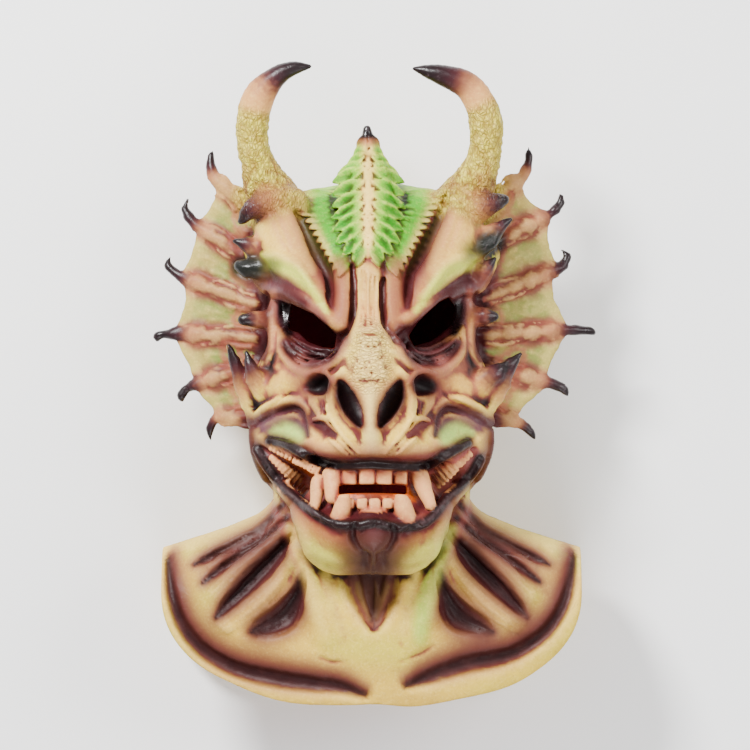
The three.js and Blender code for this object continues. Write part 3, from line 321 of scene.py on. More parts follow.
class Clay:
    """A block of clay as a grid of signed distances, with the height of its skin from above."""

    def __init__(self, low, high, cell):
        self.cell = cell
        self.axes = [np.arange(a, b + cell, cell, dtype=np.float32) for a, b in zip(low, high)]
        self.low = np.array([axis[0] for axis in self.axes])
        self.field = np.full([len(axis) for axis in self.axes], FAR, np.float32)

    def window(self, low, high):
        """The cells inside a box, as slices and as their X, Y and Z."""
        cut = []
        for axis, a, b in zip(self.axes, low, high):
            cut.append(slice(np.searchsorted(axis, a), np.searchsorted(axis, b) + 1))
        x = self.axes[0][cut[0]][:, None, None]
        y = self.axes[1][cut[1]][None, :, None]
        z = self.axes[2][cut[2]][None, None, :]
        return tuple(cut), x, y, z

    def blend(self, cut, distance, soft, carve=False):
        """Joins a form to the clay or carves it out, rounded over a width of soft."""
        sign = -1 if carve else 1
        old = sign * self.field[cut]
        t = np.clip(0.5 + 0.5 * (old - distance) / max(soft, 1e-6), 0, 1)
        mixed = old + (distance - old) * t - soft * t * (1 - t)
        self.field[cut] = sign * mixed

    def ellipsoid(self, at, half, soft):
        reach = soft + 12
        low = [c - h - reach for c, h in zip(at, half)]
        high = [c + h + reach for c, h in zip(at, half)]
        cut, x, y, z = self.window(low, high)
        u, v, w = [(p - c) / h for p, c, h in zip((x, y, z), at, half)]
        unit = np.sqrt(u * u + v * v + w * w)
        slope = np.sqrt((u / half[0]) ** 2 + (v / half[1]) ** 2 + (w / half[2]) ** 2) + 1e-9
        distance = np.maximum(unit * (unit - 1) / slope, -min(half))
        self.blend(cut, distance, soft)

    def rope(self, rows, soft, carve=False):
        """A round rope through rows of place and radius."""
        p = np.array(rows, float)
        reach = soft + 8
        low = (p[:, :3] - p[:, 3:]).min(0) - reach
        high = (p[:, :3] + p[:, 3:]).max(0) + reach
        cut, x, y, z = self.window(low, high)
        best = None
        for a, b in zip(p[:-1], p[1:]):
            run = (b - a).astype(np.float32)
            a = a.astype(np.float32)
            square = (run[:3] ** 2).sum() + 1e-9
            dot = (x - a[0]) * run[0] + (y - a[1]) * run[1] + (z - a[2]) * run[2]
            t = np.clip(dot / square, 0, 1)
            dx, dy, dz = x - a[0] - t * run[0], y - a[1] - t * run[1], z - a[2] - t * run[2]
            d = np.sqrt(dx * dx + dy * dy + dz * dz) - a[3] - t * run[3]
            best = d if best is None else np.minimum(best, d)
        self.blend(cut, best, soft, carve)

    def ropes(self, strokes, soft, step=5.0):
        """Ropes on the smooth curves through their rows."""
        for rows in strokes:
            self.rope(along(rows, step), soft)
        self.measure_skin()

    def block(self, at, half, edge, soft):
        """A block with rounded edges."""
        reach = max(half) * 1.5 + soft + 6
        cut, x, y, z = self.window([c - reach for c in at], [c + reach for c in at])
        u, v, w = [np.abs(p - c) - h + edge for p, c, h in zip((x, y, z), at, half)]
        outside = np.sqrt(np.maximum(u, 0) ** 2 + np.maximum(v, 0) ** 2 + np.maximum(w, 0) ** 2)
        distance = outside + np.minimum(np.maximum(np.maximum(u, v), w), 0) - edge
        self.blend(cut, distance, soft)

    def measure_skin(self):
        """Finds the height of the skin, seen from above, over every cell of X and Y."""
        inside = self.field < 0
        layers = inside.shape[2]
        top = np.clip(layers - 1 - np.argmax(inside[:, :, ::-1], axis=2), 0, layers - 2)
        i, j = np.indices(top.shape)
        under, over = self.field[i, j, top], self.field[i, j, top + 1]
        height = self.axes[2][top] + self.cell * np.clip(under / (under - over - 1e-6), 0, 1)
        self.heights = np.where(inside.any(axis=2), height, 0.0)

    def skin(self, x, y, heights=None):
        """Height of the skin, or of another map of heights, over any places."""
        h = self.heights if heights is None else heights
        u = (np.asarray(x) - self.axes[0][0]) / self.cell
        v = (np.asarray(y) - self.axes[1][0]) / self.cell
        i = np.clip(np.floor(u).astype(int), 0, h.shape[0] - 2)
        j = np.clip(np.floor(v).astype(int), 0, h.shape[1] - 2)
        a, b = np.clip(u - i, 0, 1), np.clip(v - j, 0, 1)
        near = h[i, j] * (1 - a) + h[i + 1, j] * a
        return near * (1 - b) + (h[i, j + 1] * (1 - a) + h[i + 1, j + 1] * a) * b

    def normals(self, x, y):
        """The skin's normals, no steeper than strokes may lie."""
        e = 4.0
        slope = np.stack([
            (self.skin(x + e, y) - self.skin(x - e, y)) / (2 * e),
            (self.skin(x, y + e) - self.skin(x, y - e)) / (2 * e),
        ], axis=-1)
        size = np.linalg.norm(slope, axis=-1, keepdims=True) + 1e-9
        slope = slope * np.minimum(1, STEEPEST / size)
        out = np.concatenate([-slope, np.ones_like(size)], axis=-1)
        return out / np.linalg.norm(out, axis=-1, keepdims=True)

    def stroke(self, rows, soft, carve, step):
        """A ridge (or groove) on the skin through rows of x, y, half-width and height."""
        s = along(rows, step)
        x, y = s[:, 0], s[:, 1]
        wide, high = np.maximum(s[:, 2], 0.4), np.maximum(s[:, 3], 0.3)
        heights = self.skin(x, y)
        drop = STEEPEST * step
        for i in range(1, len(heights)):
            heights[i] = max(heights[i], heights[i - 1] - drop)
        for i in range(len(heights) - 2, -1, -1):
            heights[i] = max(heights[i], heights[i + 1] - drop)
        radius = np.maximum((wide * wide + high * high) / (2 * high), wide)
        way = -1 if carve else 1
        at = np.stack([x, y, heights], axis=1) + way * self.normals(x, y) * (high - radius)[:, None]
        self.rope(np.column_stack([at, radius]), soft, carve)

    def ridges(self, strokes, soft, step=STEP):
        for rows in strokes:
            self.stroke(rows, soft, False, step)
        self.measure_skin()

    def grooves(self, strokes, soft, step=STEP):
        for rows in strokes:
            self.stroke(rows, soft, True, step)
        self.measure_skin()

    def leaf(self, root, tip, half, lift, sunk):
        """A pointed scale on the skin from root to tip, its tip raised and its middle sunk."""
        run = np.subtract(tip, root)
        length = np.hypot(*run)
        reach = half + 2
        low, high = np.minimum(root, tip) - reach, np.maximum(root, tip) + reach
        ground = float(self.skin(*root))
        cut, x, y, z = self.window((*low, ground - 60), (*high, ground + 30))
        x, y = x[:, :, 0], y[:, :, 0]
        t = ((x - root[0]) * run[0] + (y - root[1]) * run[1]) / length**2
        off = ((x - root[0]) * run[1] - (y - root[1]) * run[0]) / length
        inside = np.clip(t, 0, 1)
        width = leaf_width(inside, half)
        middle = np.clip(1 - (off / (0.8 * width)) ** 2, 0, 1)
        lower = np.clip(off / width * np.sign(run[0]), -1, 1)
        rise = lift * (0.25 + 0.75 * inside) - sunk * middle + 0.15 * lift * lower
        under = np.maximum(self.skin(x, y), ground - SCALE_DROP * inside * length)
        depth = z - (under + rise)[:, :, None]
        wall = np.maximum(np.abs(off) - width, np.maximum(-t, t - 1) * length)
        distance = np.maximum(0.8 * np.maximum(depth, -depth - SCALE_THICK), wall[:, :, None])
        self.blend(cut, distance.astype(np.float32), 0.5)

    def emboss(self, heights):
        """Raises the skin seen from above, and what lies just under it, by small heights over X and Y."""
        for i in range(len(self.axes[0])):
            depth = self.axes[2][None, :] - self.heights[i][:, None]
            self.field[i] -= heights[i][:, None] * smoothstep(-9, -3, depth)
        self.measure_skin()

    def sample(self, points, grid):
        """Values of a grid like the clay's at any points."""
        return read_grid(grid, (points - self.low) / self.cell)


def bib(clay):
    clay.ellipsoid(*CHEST, 0)
    for s in SIDES:
        clay.rope([(s * 40, -160, 96, 66), (s * 112, -186, 88, 62), (s * 166, -202, 80, 61)], 34)
    clay.rope([(0, -30, 90, NECK_RADIUS), (0, -200, 82, NECK_RADIUS)], 26)
    clay.measure_skin()
    # Sinews run from behind the jaw to the breastbone, with the hollow of the throat between.
    clay.ridges(mirrored(SINEW), 8)
    throat = [(1, -146, 32, 12), (1, -174, 28, 16), (2, -196, 17, 14), (2, -214, 7, 6)]
    clay.grooves([throat], 4)
    clay.ridges([
        [(-15, -160, 4, 3), (-11, -184, 4, 3), (-2, -208, 2, 2)],
        [(17, -160, 4, 3), (12, -184, 4, 3), (5, -208, 2, 2)],
        [(2, -158, 2, 1), (5, -186, 2, 3), (3, -206, 2, 2)],
    ], 2)
    clay.grooves(all_mirrored(HOLLOWS), 3.5)
    clay.ridges(all_mirrored(SHOULDER_RIBS), 3)
    inner = [[(x * 0.95, y + 7, 1.5 * w, 0.5 * h) for x, y, w, h in rows] for rows in RIM_GROOVES]
    clay.grooves(inner, 6)
    clay.grooves([[(x, y - 2, 0.75 * w, 0.8 * h) for x, y, w, h in rows] for rows in RIM_GROOVES], 3.5)
    # Thin strands lie along the ribs and in the hollows.
    strands = []
    for rows in HOLLOWS + SHOULDER_RIBS:
        for off in (-0.6, -0.15, 0.35, 0.75):
            strands += mirrored([(x + off * w, y + off * w, 1.3, 1.1) for x, y, w, _ in rows])
    clay.ridges(strands, 1.2)
    clay.grooves([
        [(-46, -243, 2, 1), (-36, -247, 2, 2), (-23, -246, 2, 1)],
        [(25, -246, 2, 1), (44, -240, 2, 2), (56, -232, 2, 1)],
    ], 1.5)


def head(clay):
    clay.ellipsoid(*SKULL, 6)
    clay.rope([(-48, 136, 112, 44), (48, 136, 112, 44)], 14)
    clay.ellipsoid(*FACE, 22)
    clay.ellipsoid(*SNOUT, 26)
    for s in SIDES:
        at, half = CHEEK
        clay.ellipsoid((s * at[0], at[1], at[2]), half, 18)
    clay.ellipsoid(*LIP_MASS, 16)
    clay.ellipsoid(*CHIN, 6)
    clay.measure_skin()


def brows(clay):
    # A broad plate from each horn's foot to the inner corner of the eye, and its lower roll.
    plate = [
        (82, 166, 132, 23), (77, 140, 152, 25), (66, 113, 169, 26), (49, 88, 190, 20),
        (34, 70, 205, 12),
    ]
    roll = [
        (98, 122, 128, 18), (88, 100, 146, 18), (70, 86, 167, 14), (50, 71, 190, 11), (30, 57, 208, 9),
    ]
    clay.ropes(mirrored(plate, FACE_MIDDLE), 8)
    clay.ropes(mirrored(roll), 7)
    # A sharp ledge runs across the plate, with a scoop under it over the eye.
    scoop = [(94, 99, 7, 2), (78, 92, 9, 3.5), (63, 81, 8, 3), (49, 69, 5, 1.5)]
    clay.grooves(mirrored(scoop), 5)
    ledge = [(98, 118, 4, 2), (82, 116, 5, 3), (66, 108, 5, 4), (56, 94, 4, 4), (47, 81, 4, 2)]
    clay.ridges(mirrored(ledge), 2.5)
    seam = [
        (70, 175, 4, 4), (64, 160, 6, 8), (54, 138, 7, 11), (45, 118, 7, 11), (37, 103, 5, 10),
        (34, 88, 4, 9), (34, 73, 3, 3),
    ]
    clay.grooves(mirrored(seam, FACE_MIDDLE + 1), 2)
    line = [(84, 158, 1.3, 1), (76, 138, 1.3, 1), (70, 122, 1.3, 1)]
    clay.grooves(mirrored(line, FACE_MIDDLE), 1)


def eye_sockets(clay):
    # One eye sits a little higher than the other.
    def lifted(rows):
        return [[(x, y + 7, w, h) for x, y, w, h in rows], flip(rows)]

    socket = [(85, 74, 7, 6), (75, 60, 15, 14), (57, 45, 18, 17), (38, 38, 13, 13), (28, 42, 7, 7)]
    clay.grooves(lifted(socket), 3)
    bowl = [(77, 38, 4, 3), (68, 30, 8, 8), (54, 27, 10, 10), (40, 31, 9, 8), (31, 39, 5, 5)]
    clay.grooves(mirrored(bowl), 2.5)
    lid = [(88, 88, 5, 2), (66, 81, 6, 4), (47, 69, 7, 5), (31, 58, 7, 5), (21, 53, 5, 3)]
    rim = [(82, 52, 3, 2), (80, 32, 4, 4), (64, 15, 4, 4), (46, 15, 4, 4), (30, 25, 4, 4), (22, 42, 3, 3)]
    clay.ridges(mirrored(lid) + mirrored(rim), 2.5)
    # Wrinkles of the bag, one under the other, between the eye hole and the rim.
    top = [(77, 49), (66, 44), (52, 37), (42, 36), (33, 40)]
    low = [(78, 40), (71, 24), (57, 17), (43, 20), (31, 30)]
    folds = []
    for k in range(4):
        t = (k + 0.4) / 4
        folds += mirrored([(*between(a, b, t), 1.7, 2.4) for a, b in zip(top, low)])
    clay.ridges(folds, 0.7, 3)


def nose(clay):
    # A roll beside the bridge, and the bridge itself, which widens to the top of the nose.
    inner = [(24, 118, 184, 7), (21, 100, 197, 9.5), (20.5, 78, 209, 10), (22.5, 56, 215, 9)]
    clay.ropes(mirrored(inner, FACE_MIDDLE), 2.5, 4)
    bridge = [
        (-3, 140, 180, 12), (-3, 100, 200, 12.5), (-2, 66, 214, 14), (-2, 46, 226, 18),
        (-1, 22, 236, 23), (-1, 0, 239, 24),
    ]
    clay.ropes([bridge], 5, 4)
    seam = [(13, 112, 2.5, 4), (13, 88, 3.5, 8), (13.5, 66, 3.5, 8), (17, 52, 4, 7), (27, 41, 3, 4)]
    clay.grooves(mirrored(seam, FACE_MIDDLE), 1.5)
    # The wings of the nose, and the folds that run from them to the lip.
    wing = [
        (25, 14, 4, 3), (33, 5, 4, 5), (34, -12, 4, 5), (30, -27, 5, 5), (19, -42, 5, 5),
        (9, -54, 4, 3),
    ]
    fold = [(52, -13, 6, 3), (43, -26, 5, 4), (33, -42, 5, 4), (25, -56, 4, 2)]
    mound = [(22, -48, 5, 3), (33, -52, 9, 5), (46, -55, 5, 2)]
    septum = [(-1, -4, 6, 3), (-1, -28, 6, 6), (0, -46, 11, 7), (0, -58, 13, 5)]
    clay.ridges(mirrored(wing) + mirrored(fold) + mirrored(mound) + [septum], 2.5)
    flames = []
    for k in range(3):
        flames += mirrored([
            (39 + 4 * k, -6 - 8 * k, 1.4, 1.5), (37 + 3 * k, -22 - 6 * k, 2, 3.2),
            (26 + 4 * k, -40 - 4 * k, 2.1, 3.6), (11 + 5 * k, -58 - k, 1.6, 2.4),
        ])
    clay.ridges(flames, 1, 3)
    nostril = [(27, 4, 2.5, 5), (23, -7, 8.5, 18), (16, -20, 8, 18), (10, -32, 3, 7)]
    clay.grooves(mirrored(nostril, -1), 1.5)
    pit_left = [(-60, 0, 2, 2), (-52, 2, 8, 12), (-44, 4, 9.5, 14)]
    pit_right = [(57, -3, 2, 2), (49, 2, 8.5, 12), (44, 3, 9.5, 14)]
    slot = [(53, -30, 3, 2), (43, -36, 5.0, 5), (33, -43, 3, 2)]
    clay.grooves([pit_left, pit_right] + mirrored(slot), 2)
    rim = [(59, 10, 2, 1), (50, 15, 2.5, 2.5), (40, 13, 2.5, 2.5), (34, 4, 2, 1)]
    clay.ridges(mirrored(rim), 1)
    lines = []
    for k in range(2):
        lines += mirrored([
            (32, -28 - 3 * k, 1.2, 1), (42, -26 - 2 * k, 1.4, 1.6), (52, -28 - 2 * k, 1.2, 1),
        ])
    clay.ridges(lines, 0.8, 3)


def nose_wrinkles(clay):
    """Folds down the bridge, and a net of short wrinkles on the top of the nose."""
    folds = []
    for off, long in ((3.2, 1.0), (7.6, 0.9)):
        folds += mirrored([
            (0.6 * off, 110, 1.2, 1.5), (off, 94, 1.7, 3), (0.85 * off, 78, 1.7, 3),
            (0.9 * off, 78 - 22 * long, 1.2, 1.5),
        ], FACE_MIDDLE)
    clay.grooves(folds, 0.6, 3)
    clay.ridges([
        [(-11, 49, 4, 3), (-2, 50, 5, 3.5), (7, 49, 4, 3)],
        [(-9, 43, 3, 2), (-1, 42, 4, 2.5), (6, 43, 3, 2)],
    ], 1.5)
    # Curls at each side, over the nostrils.
    curls = []
    for k in range(4):
        curls += mirrored([
            (15 + 4 * k, 33 - 3 * k, 1.5, 1.2), (23 + 4 * k, 31 - 4 * k, 2.2, 2.6),
            (31 + 3 * k, 24 - 3 * k, 1.6, 1.4),
        ], -1)
    clay.ridges(curls, 1.2, 3)
    # Rows of small arcs, each row shifted by half an arc, cover the top of the nose like a net.
    net = []
    for row in range(NET_ROWS):
        y = 42 - 4.6 * row
        count = 4 + row // 2
        wide = 0.5 * (11 + 2.6 * row)
        for k in range(count):
            x = -1 + wide * ((k + 0.5 + 0.25 * (-1) ** row) / count * 2 - 1)
            bend = 1.6 + 0.8 * math.sin(5 * x + row)
            half = 0.62 * wide / count + 1.2
            drop = 0.012 * (x + 1) ** 2
            net.append([
                (x - half, y - bend - drop, 1.0, 1.0), (x, y + bend - drop, 1.7, 2.8),
                (x + half, y - bend - drop, 1.0, 1.0),
            ])
    clay.ridges(net, 0.6, 3)


def cheeks(clay):
    hollow = [(101, -36, 7, 5), (88, -38, 13, 9), (74, -36, 15, 9), (64, -42, 9, 5)]
    clay.grooves(mirrored(hollow), 3.5)
    arch = [
        (108, -34, 3, 2), (97, -27, 4, 5), (82, -20, 5, 6), (68, -17, 5, 6), (60, -26, 4, 4),
        (57, -42, 3, 2),
    ]
    clay.grooves([[(x, y - 3, 0.7 * w, 0.7 * h) for x, y, w, h in rows] for rows in mirrored(arch)], 1.5)
    edge = [(109, -30, 4, 2), (97, -20, 5, 4), (80, -13, 5, 5), (66, -12, 4, 4), (56, -20, 3, 2)]
    jaw = [(107, -40, 5, 3), (105, -58, 5, 4), (97, -78, 5, 4), (84, -92, 5, 3)]
    clay.ridges(mirrored(edge) + mirrored(jaw), 2.5)
    crease_left = [(-93, -18, 1.5, 2), (-82, -10, 2, 3), (-71, -4, 1.5, 1)]
    crease_right = [(63, -3, 1.5, 1), (74, -13, 2.5, 4), (88, -19, 2, 2)]
    clay.grooves([crease_left, crease_right], 1.2)


def temples(clay):
    ridge = [(96, 98, 138, 8), (88, 88, 148, 6), (88, 56, 152, 6), (87, 36, 156, 7), (93, 18, 154, 9)]
    cheekbone = [(98, 4, 148, 13), (82, -2, 168, 14), (62, 4, 188, 11), (48, 14, 204, 8)]
    clay.ropes(mirrored(ridge), 3)
    clay.ropes(mirrored(cheekbone), 6)
    cup = [(94, 84, 3, 4), (97, 62, 5, 8), (98, 42, 6, 9), (98, 28, 4, 5)]
    clay.grooves(mirrored(cup), 2.5)


def side_teeth(clay, height):
    """Rows of narrow teeth that run back to the corners of the mouth."""
    # Inner end, outer end, how many teeth, and how long they are at each end.
    rows = [
        ((-46, -75), (-91, -53), 13, 8.5, 4.5), ((-57, -91), (-91, -61), 11, 15, 5),
        ((54, -84), (89, -57), 10, 19, 7),
    ]
    for start, end, count, long_in, long_out in rows:
        (x0, y0), (x1, y1) = start, end
        run = math.hypot(x1 - x0, y1 - y0)
        across = (-(y1 - y0) / run, (x1 - x0) / run)
        for k in range(count):
            t = (k + 0.5) / count
            x, y = between(start, end, t)
            half = 0.5 * (long_in + (long_out - long_in) * t) - 1
            radius = 0.5 * run / count
            z = height(x, y) - 1.5 + 1.5 * (1 - t)
            ends = [(x + u * half * across[0], y + u * half * across[1], z, radius) for u in (-1, 1)]
            clay.rope(ends, 0.3)


def mouth(clay):
    """The gap between the lips, the teeth in it, then the lips. Returns how far the teeth stand out."""
    rest = clay.heights.copy()
    clay.grooves([GAP], 2.5)
    hollow = clay.heights.copy()
    bare = clay.field.copy()

    def height(x, y):
        return float(clay.skin(x, y, rest))

    for x, half in ((-19.5, 6.7), (-4, 7.0), (11.5, 7.1), (26, 6.2)):
        clay.block((x, -77.5, height(x, -80) + 0.5), (half, 9.5, 7), 3.0, 0.3)
    for x in (-20, -8.5, 3, 14.5):
        clay.block((x, -103, height(x, -104) - 8), (5.2, 5, 5), 2.6, 0.3)
    # Fangs: x, y, radius and how far it stands out, at the foot and at the tip.
    fangs = [
        ((-35, -78, 8.8, 0.5), (-34, -97, 7.2, 5)), ((-47, -84, 6.8, 0.5), (-50, -104, 5.0, 4)),
        ((42, -77, 8.6, 0.5), (52, -104, 5.4, 6)), ((-28, -116, 9.0, 2), (-23, -92, 3.8, 4)),
        ((30, -115, 10, 2), (25, -90, 3.0, 5)),
    ]
    for foot, tip in fangs:
        z = max(height(*foot[:2]), height(*tip[:2]))
        rows = []
        for t in (0, 0.4, 0.75, 1):
            x, y, radius, out = between(foot, tip, t)
            rows.append((x, y, z + out - radius, foot[2] + (tip[2] - foot[2]) * t**1.5))
        clay.rope(rows, 0.4)
    side_teeth(clay, height)
    teeth = bare - clay.field
    # The lips lie over the feet of the teeth.
    clay.heights = hollow
    upper = [(x, y - 1, 3.5, 4) for x, y in UPPER_LIP]
    lower = [(x, y, 3.8, 6) for x, y in LOWER_LIP]
    clay.ridges([upper, lower], 2)
    clay.grooves([[(x, y + 5, 1.6, 1.6) for x, y in UPPER_LIP[2:-2]]], 1.5)
    folds = [[(x + 2, y + 3, 1, 0.8), (x - 2, y - 3, 1.4, 1.4)] for x, y in LOWER_LIP[1:-1]]
    clay.grooves(folds, 0.8, 3)
    return teeth


def chin(clay):
    edge = [
        (84, -88, 5, 3), (68, -106, 7, 5), (59, -128, 9, 6), (51, -148, 10, 7), (34, -159, 10, 7),
        (8, -161, 8, 5),
    ]
    corner = [(47, -146, 6, 3), (40, -151, 7, 3.5), (30, -154, 6, 3)]
    clay.ridges(mirrored(edge) + mirrored(corner), 7)
    boss = [(2, -128, 10, 3), (2, -136, 12, 6), (2, -142, 8, 4)]
    clay.ridges([boss], 2)
    beside = [(17, -122, 2.5, 3), (19, -133, 3, 4.5), (14, -143, 3, 3), (8, -148, 2, 1)]
    clay.grooves(mirrored(beside, 2), 2.5)
    clay.grooves(mirrored([(7, -147, 3, 2), (8, -154, 4, 3), (9, -163, 3, 1)], 2), 3)
    clay.ridges([[(2, -144, 2, 2), (2, -154, 2.2, 3), (1, -165, 3, 2)]], 1)
    clay.grooves(mirrored([(28, -132, 3, 1.5), (36, -126, 5, 2.5), (48, -118, 3, 1.5)]), 3)


def crest(clay):
    rows = [
        (-4, 232, 166, 3.5), (-3, 222, 163, 6.5), (-3, 212, 159, 10.5), (-2, 201, 155, 14.5),
        (-1, 188, 154, 20), (0, 172, 160, 20), (0, 150, 166, 22), (0, 128, 180, 16), (0, 104, 196, 10),
    ]
    clay.ropes([rows], 12)


def forehead_scales():
    """Leaf scales in pairs down the brow, from root to tip: outer ones, then those over them."""
    leaves = []
    for k in range(OUTER_SCALES):
        t = k / (OUTER_SCALES - 1)
        root = (34 - 19 * t, 176 - 55 * t)
        tip = (27 + 43 * (1 - t) ** 0.9, 174 - 75.5 * t)
        leaves.append(("outer", root, tip, 3.5 + 0.9 * t))
    for k in range(CREST_SCALES):
        leaves.append(("inner", (3, 227 - 8 * k), (9 + 3 * k + 1.1 * k * k, 211 - 6.5 * k), 4.4))
    for k in range(INNER_SCALES):
        lower = max(k - 2, 0)
        tip = (33 - 0.17 * lower**3, 184 - 11 * k)
        root = (4, tip[1] + 13 + 2.3 * lower)
        leaves.append(("inner", root, tip, 5.6))
    return leaves


def scales(clay):
    for kind, root, tip, half in forehead_scales():
        lift, sunk = (6.0, 1.0) if kind == "inner" else (4.5, 0.2)
        for side in SIDES:
            ends = [(FACE_MIDDLE + side * x, y) for x, y in (root, tip)]
            clay.leaf(*ends, half, lift, sunk)
    clay.measure_skin()
    spine = []
    for k in range(SPINE_BEADS):
        y = 218 - 6.2 * k
        half = 2.8 + 1.4 * math.sin(k * 1.9)
        spine.append([
            (FACE_MIDDLE - half, y + 3, 1.6, 1.4), (FACE_MIDDLE, y - 1.5, 2.6, 2.8),
            (FACE_MIDDLE + half, y + 3, 1.6, 1.4),
        ])
    clay.ridges(spine, 0.6, 3)


def fan_height(x):
    return FAN_Z - FAN_SWEEP * (np.abs(x) - FAN_FROM)


def fan_ropes(ribs):
    """The ribs of an ear fan with their spikes, as ropes."""
    ropes = []
    for n, (root, foot, tip, _) in enumerate(ribs):
        bend = [foot[a] + 0.45 * (tip[a] - foot[a]) + 0.10 * (foot[a] - root[a]) for a in (0, 1)]
        inner, outer = between(root, foot, 0.35), between(root, foot, 0.68)
        wide = 5.8 if 0 < n < len(ribs) - 1 else 5.2
        places = [
            (*root, 5.6), (*inner, wide), (*outer, wide + 1.4), (*foot, 4.8), (*bend, 3.9), (*tip, 1.2),
        ]
        ropes.append([
            (x, y, float(fan_height(x)) + 1, r * (1 + 0.12 * math.sin(0.31 * x + 0.27 * y)))
            for x, y, r in along(places)
        ])
    return ropes


def fan_folds(ribs):
    """Thin fleshy folds along both edges of each rib."""
    folds = []
    for n, (root, foot, _, _) in enumerate(ribs):
        run = np.subtract(foot, root)
        across = np.array([-run[1], run[0]]) / np.hypot(*run)
        for side in SIDES:
            rows = []
            for t in np.linspace(0.05, 0.95, 9):
                bulge = 7.8 - 4.2 * t**3 + 1.5 * math.sin(11 * t + 2 * n + side)
                x, y = root + run * t + side * bulge * across
                rows.append((x, y, float(fan_height(x)) + 2.9, 2.0 - 0.6 * t))
            folds.append(rows)
    return folds


def fan(clay, ribs):
    """A thin scalloped web held by six ribs that end in spikes, with thin folds between the ribs."""
    side = np.sign(ribs[0][0][0])
    outline = [ribs[0][1]]
    for (_, foot, _, dip), (_, after, _, _) in zip(ribs, ribs[1:]):
        pull = [2 * dip[a] - (foot[a] + after[a]) / 2 for a in (0, 1)]
        for t in np.linspace(0, 1, 9)[1:]:
            outline.append([
                (1 - t) ** 2 * foot[a] + 2 * t * (1 - t) * pull[a] + t * t * after[a] for a in (0, 1)
            ])
    outline += [(side * 88, -38), (side * 70, 60), (side * 80, 165)]
    xs, ys = [p[0] for p in outline], [p[1] for p in outline]
    cut, x, y, z = clay.window((min(xs) - 8, min(ys) - 8, 70), (max(xs) + 8, max(ys) + 8, 150))
    edge = outline_distance(outline, x[:, :, 0], y[:, :, 0])[:, :, None]
    clay.blend(cut, np.maximum(edge, np.abs(z - fan_height(x)) - FAN_THICK / 2), 4)
    for rows in fan_ropes(ribs):
        clay.rope(rows, 3)
    for rows in fan_folds(ribs):
        clay.rope(rows, 1.2)
    for (root, foot, _, _), (root_b, foot_b, _, _) in zip(ribs, ribs[1:]):
        for u in (0.3, 0.5, 0.7):
            start, end = between(root, root_b, u), between(foot, foot_b, u)
            rows = []
            for t in np.linspace(0, 0.82, 6):
                at_x, at_y = between(start, end, t)
                at_z = fan_height(at_x) + FAN_THICK / 2 - 0.6
                rows.append((at_x, at_y + 2.5 * math.sin(9 * t + 5 * u), at_z, 1.3 * (1 - 0.5 * t)))
            clay.rope(rows, 1.5)


def granules(points):
    """Distance from the middles of the horns' granules, which are longer up the horn."""
    return cells(points * np.array([1, 0.75, 1]), PEBBLE, 11)


def horns(clay):
    """The horns, smooth towards their tips and pebbled below, down to the skin round their feet."""
    clay.ropes(HORNS, 8, 6)
    for rows in HORNS:
        side = np.sign(rows[0][0])
        left, right = sorted((side * 62, side * 130))
        cut, x, y, z = clay.window((left, 168, 60), (right, 272, 200))
        near = np.abs(clay.field[cut]) < 4
        places = np.stack([(c + 0 * near)[near] for c in (x, y, z)], axis=1)
        scaly = 1 - smoothstep(240, 262, places[:, 1])
        scaly *= smoothstep(168, 186, places[:, 1] + 0.5 * (side * places[:, 0] - 90))
        lumps = granules(places)
        field = clay.field[cut]
        field[near] -= scaly * (1.0 - 2.7 * np.clip(lumps, 0, 0.75))
        clay.field[cut] = field


def unevenness(clay):
    """Slight dents left by the modeller's hand, deeper on the ear fans."""
    x, y = np.meshgrid(clay.axes[0], clay.axes[1], indexing="ij")
    places = np.stack([x, y, 0 * x], axis=-1).reshape(-1, 3)
    dents = 0
    for size in (9, 4.5):
        dents = dents + 0.5 * (lattice_noise(places, size, int(size)) - 0.5)
    on_fan = smoothstep(104, 116, np.abs(x)) * (y > -50) * (y < 222)
    clay.emboss(dents.reshape(x.shape) * (1.1 + 1.6 * on_fan))


def openings(clay):
    """The eye holes and the slot between the teeth."""
    for rim in EYES:
        xs, ys = [p[0] for p in rim], [p[1] for p in rim]
        cut, x, y, z = clay.window(
            (min(xs) - 8, min(ys) - 8, EYE_DEPTH - 20), (max(xs) + 8, max(ys) + 8, 260)
        )
        edge = outline_distance(rim, x[:, :, 0], y[:, :, 0])[:, :, None]
        clay.blend(cut, np.maximum(edge, EYE_DEPTH - z), 3, True)
    cut, x, y, z = clay.window((-35, -100, 144), (37, -80, 268))
    bowed = np.abs(y - SLOT_Y + 0.0015 * x * x) - SLOT_TALL
    slot = np.maximum(np.abs(x - SLOT_X) - SLOT_HALF, np.maximum(bowed, SLOT_DEPTH - z))
    clay.blend(cut, slot, 1.5, True)


def trim(clay):
    """Cuts the bib along the hem, a superellipse seen from the front, and all of it at the floor."""
    x, y, z = clay.axes[0][:, None, None], clay.axes[1][None, :, None], clay.axes[2][None, None, :]
    wave = 3.5 * np.exp(-(((x - 8) / 24) ** 2)) - 1.2 * np.sin(x / 17) * smoothstep(170, 120, np.abs(x))
    down = np.maximum(HEM_MIDDLE - y + wave, 0) / HEM_BELOW
    size = (np.abs(x) / HEM_HALF) ** HEM_POWER + down**HEM_POWER
    hem = (size ** (1 / HEM_POWER) - 1) * HEM_BELOW
    hem = np.where(y > -120, -FAR, hem).astype(np.float32)
    clay.field = np.maximum(np.maximum(clay.field, hem), -z)


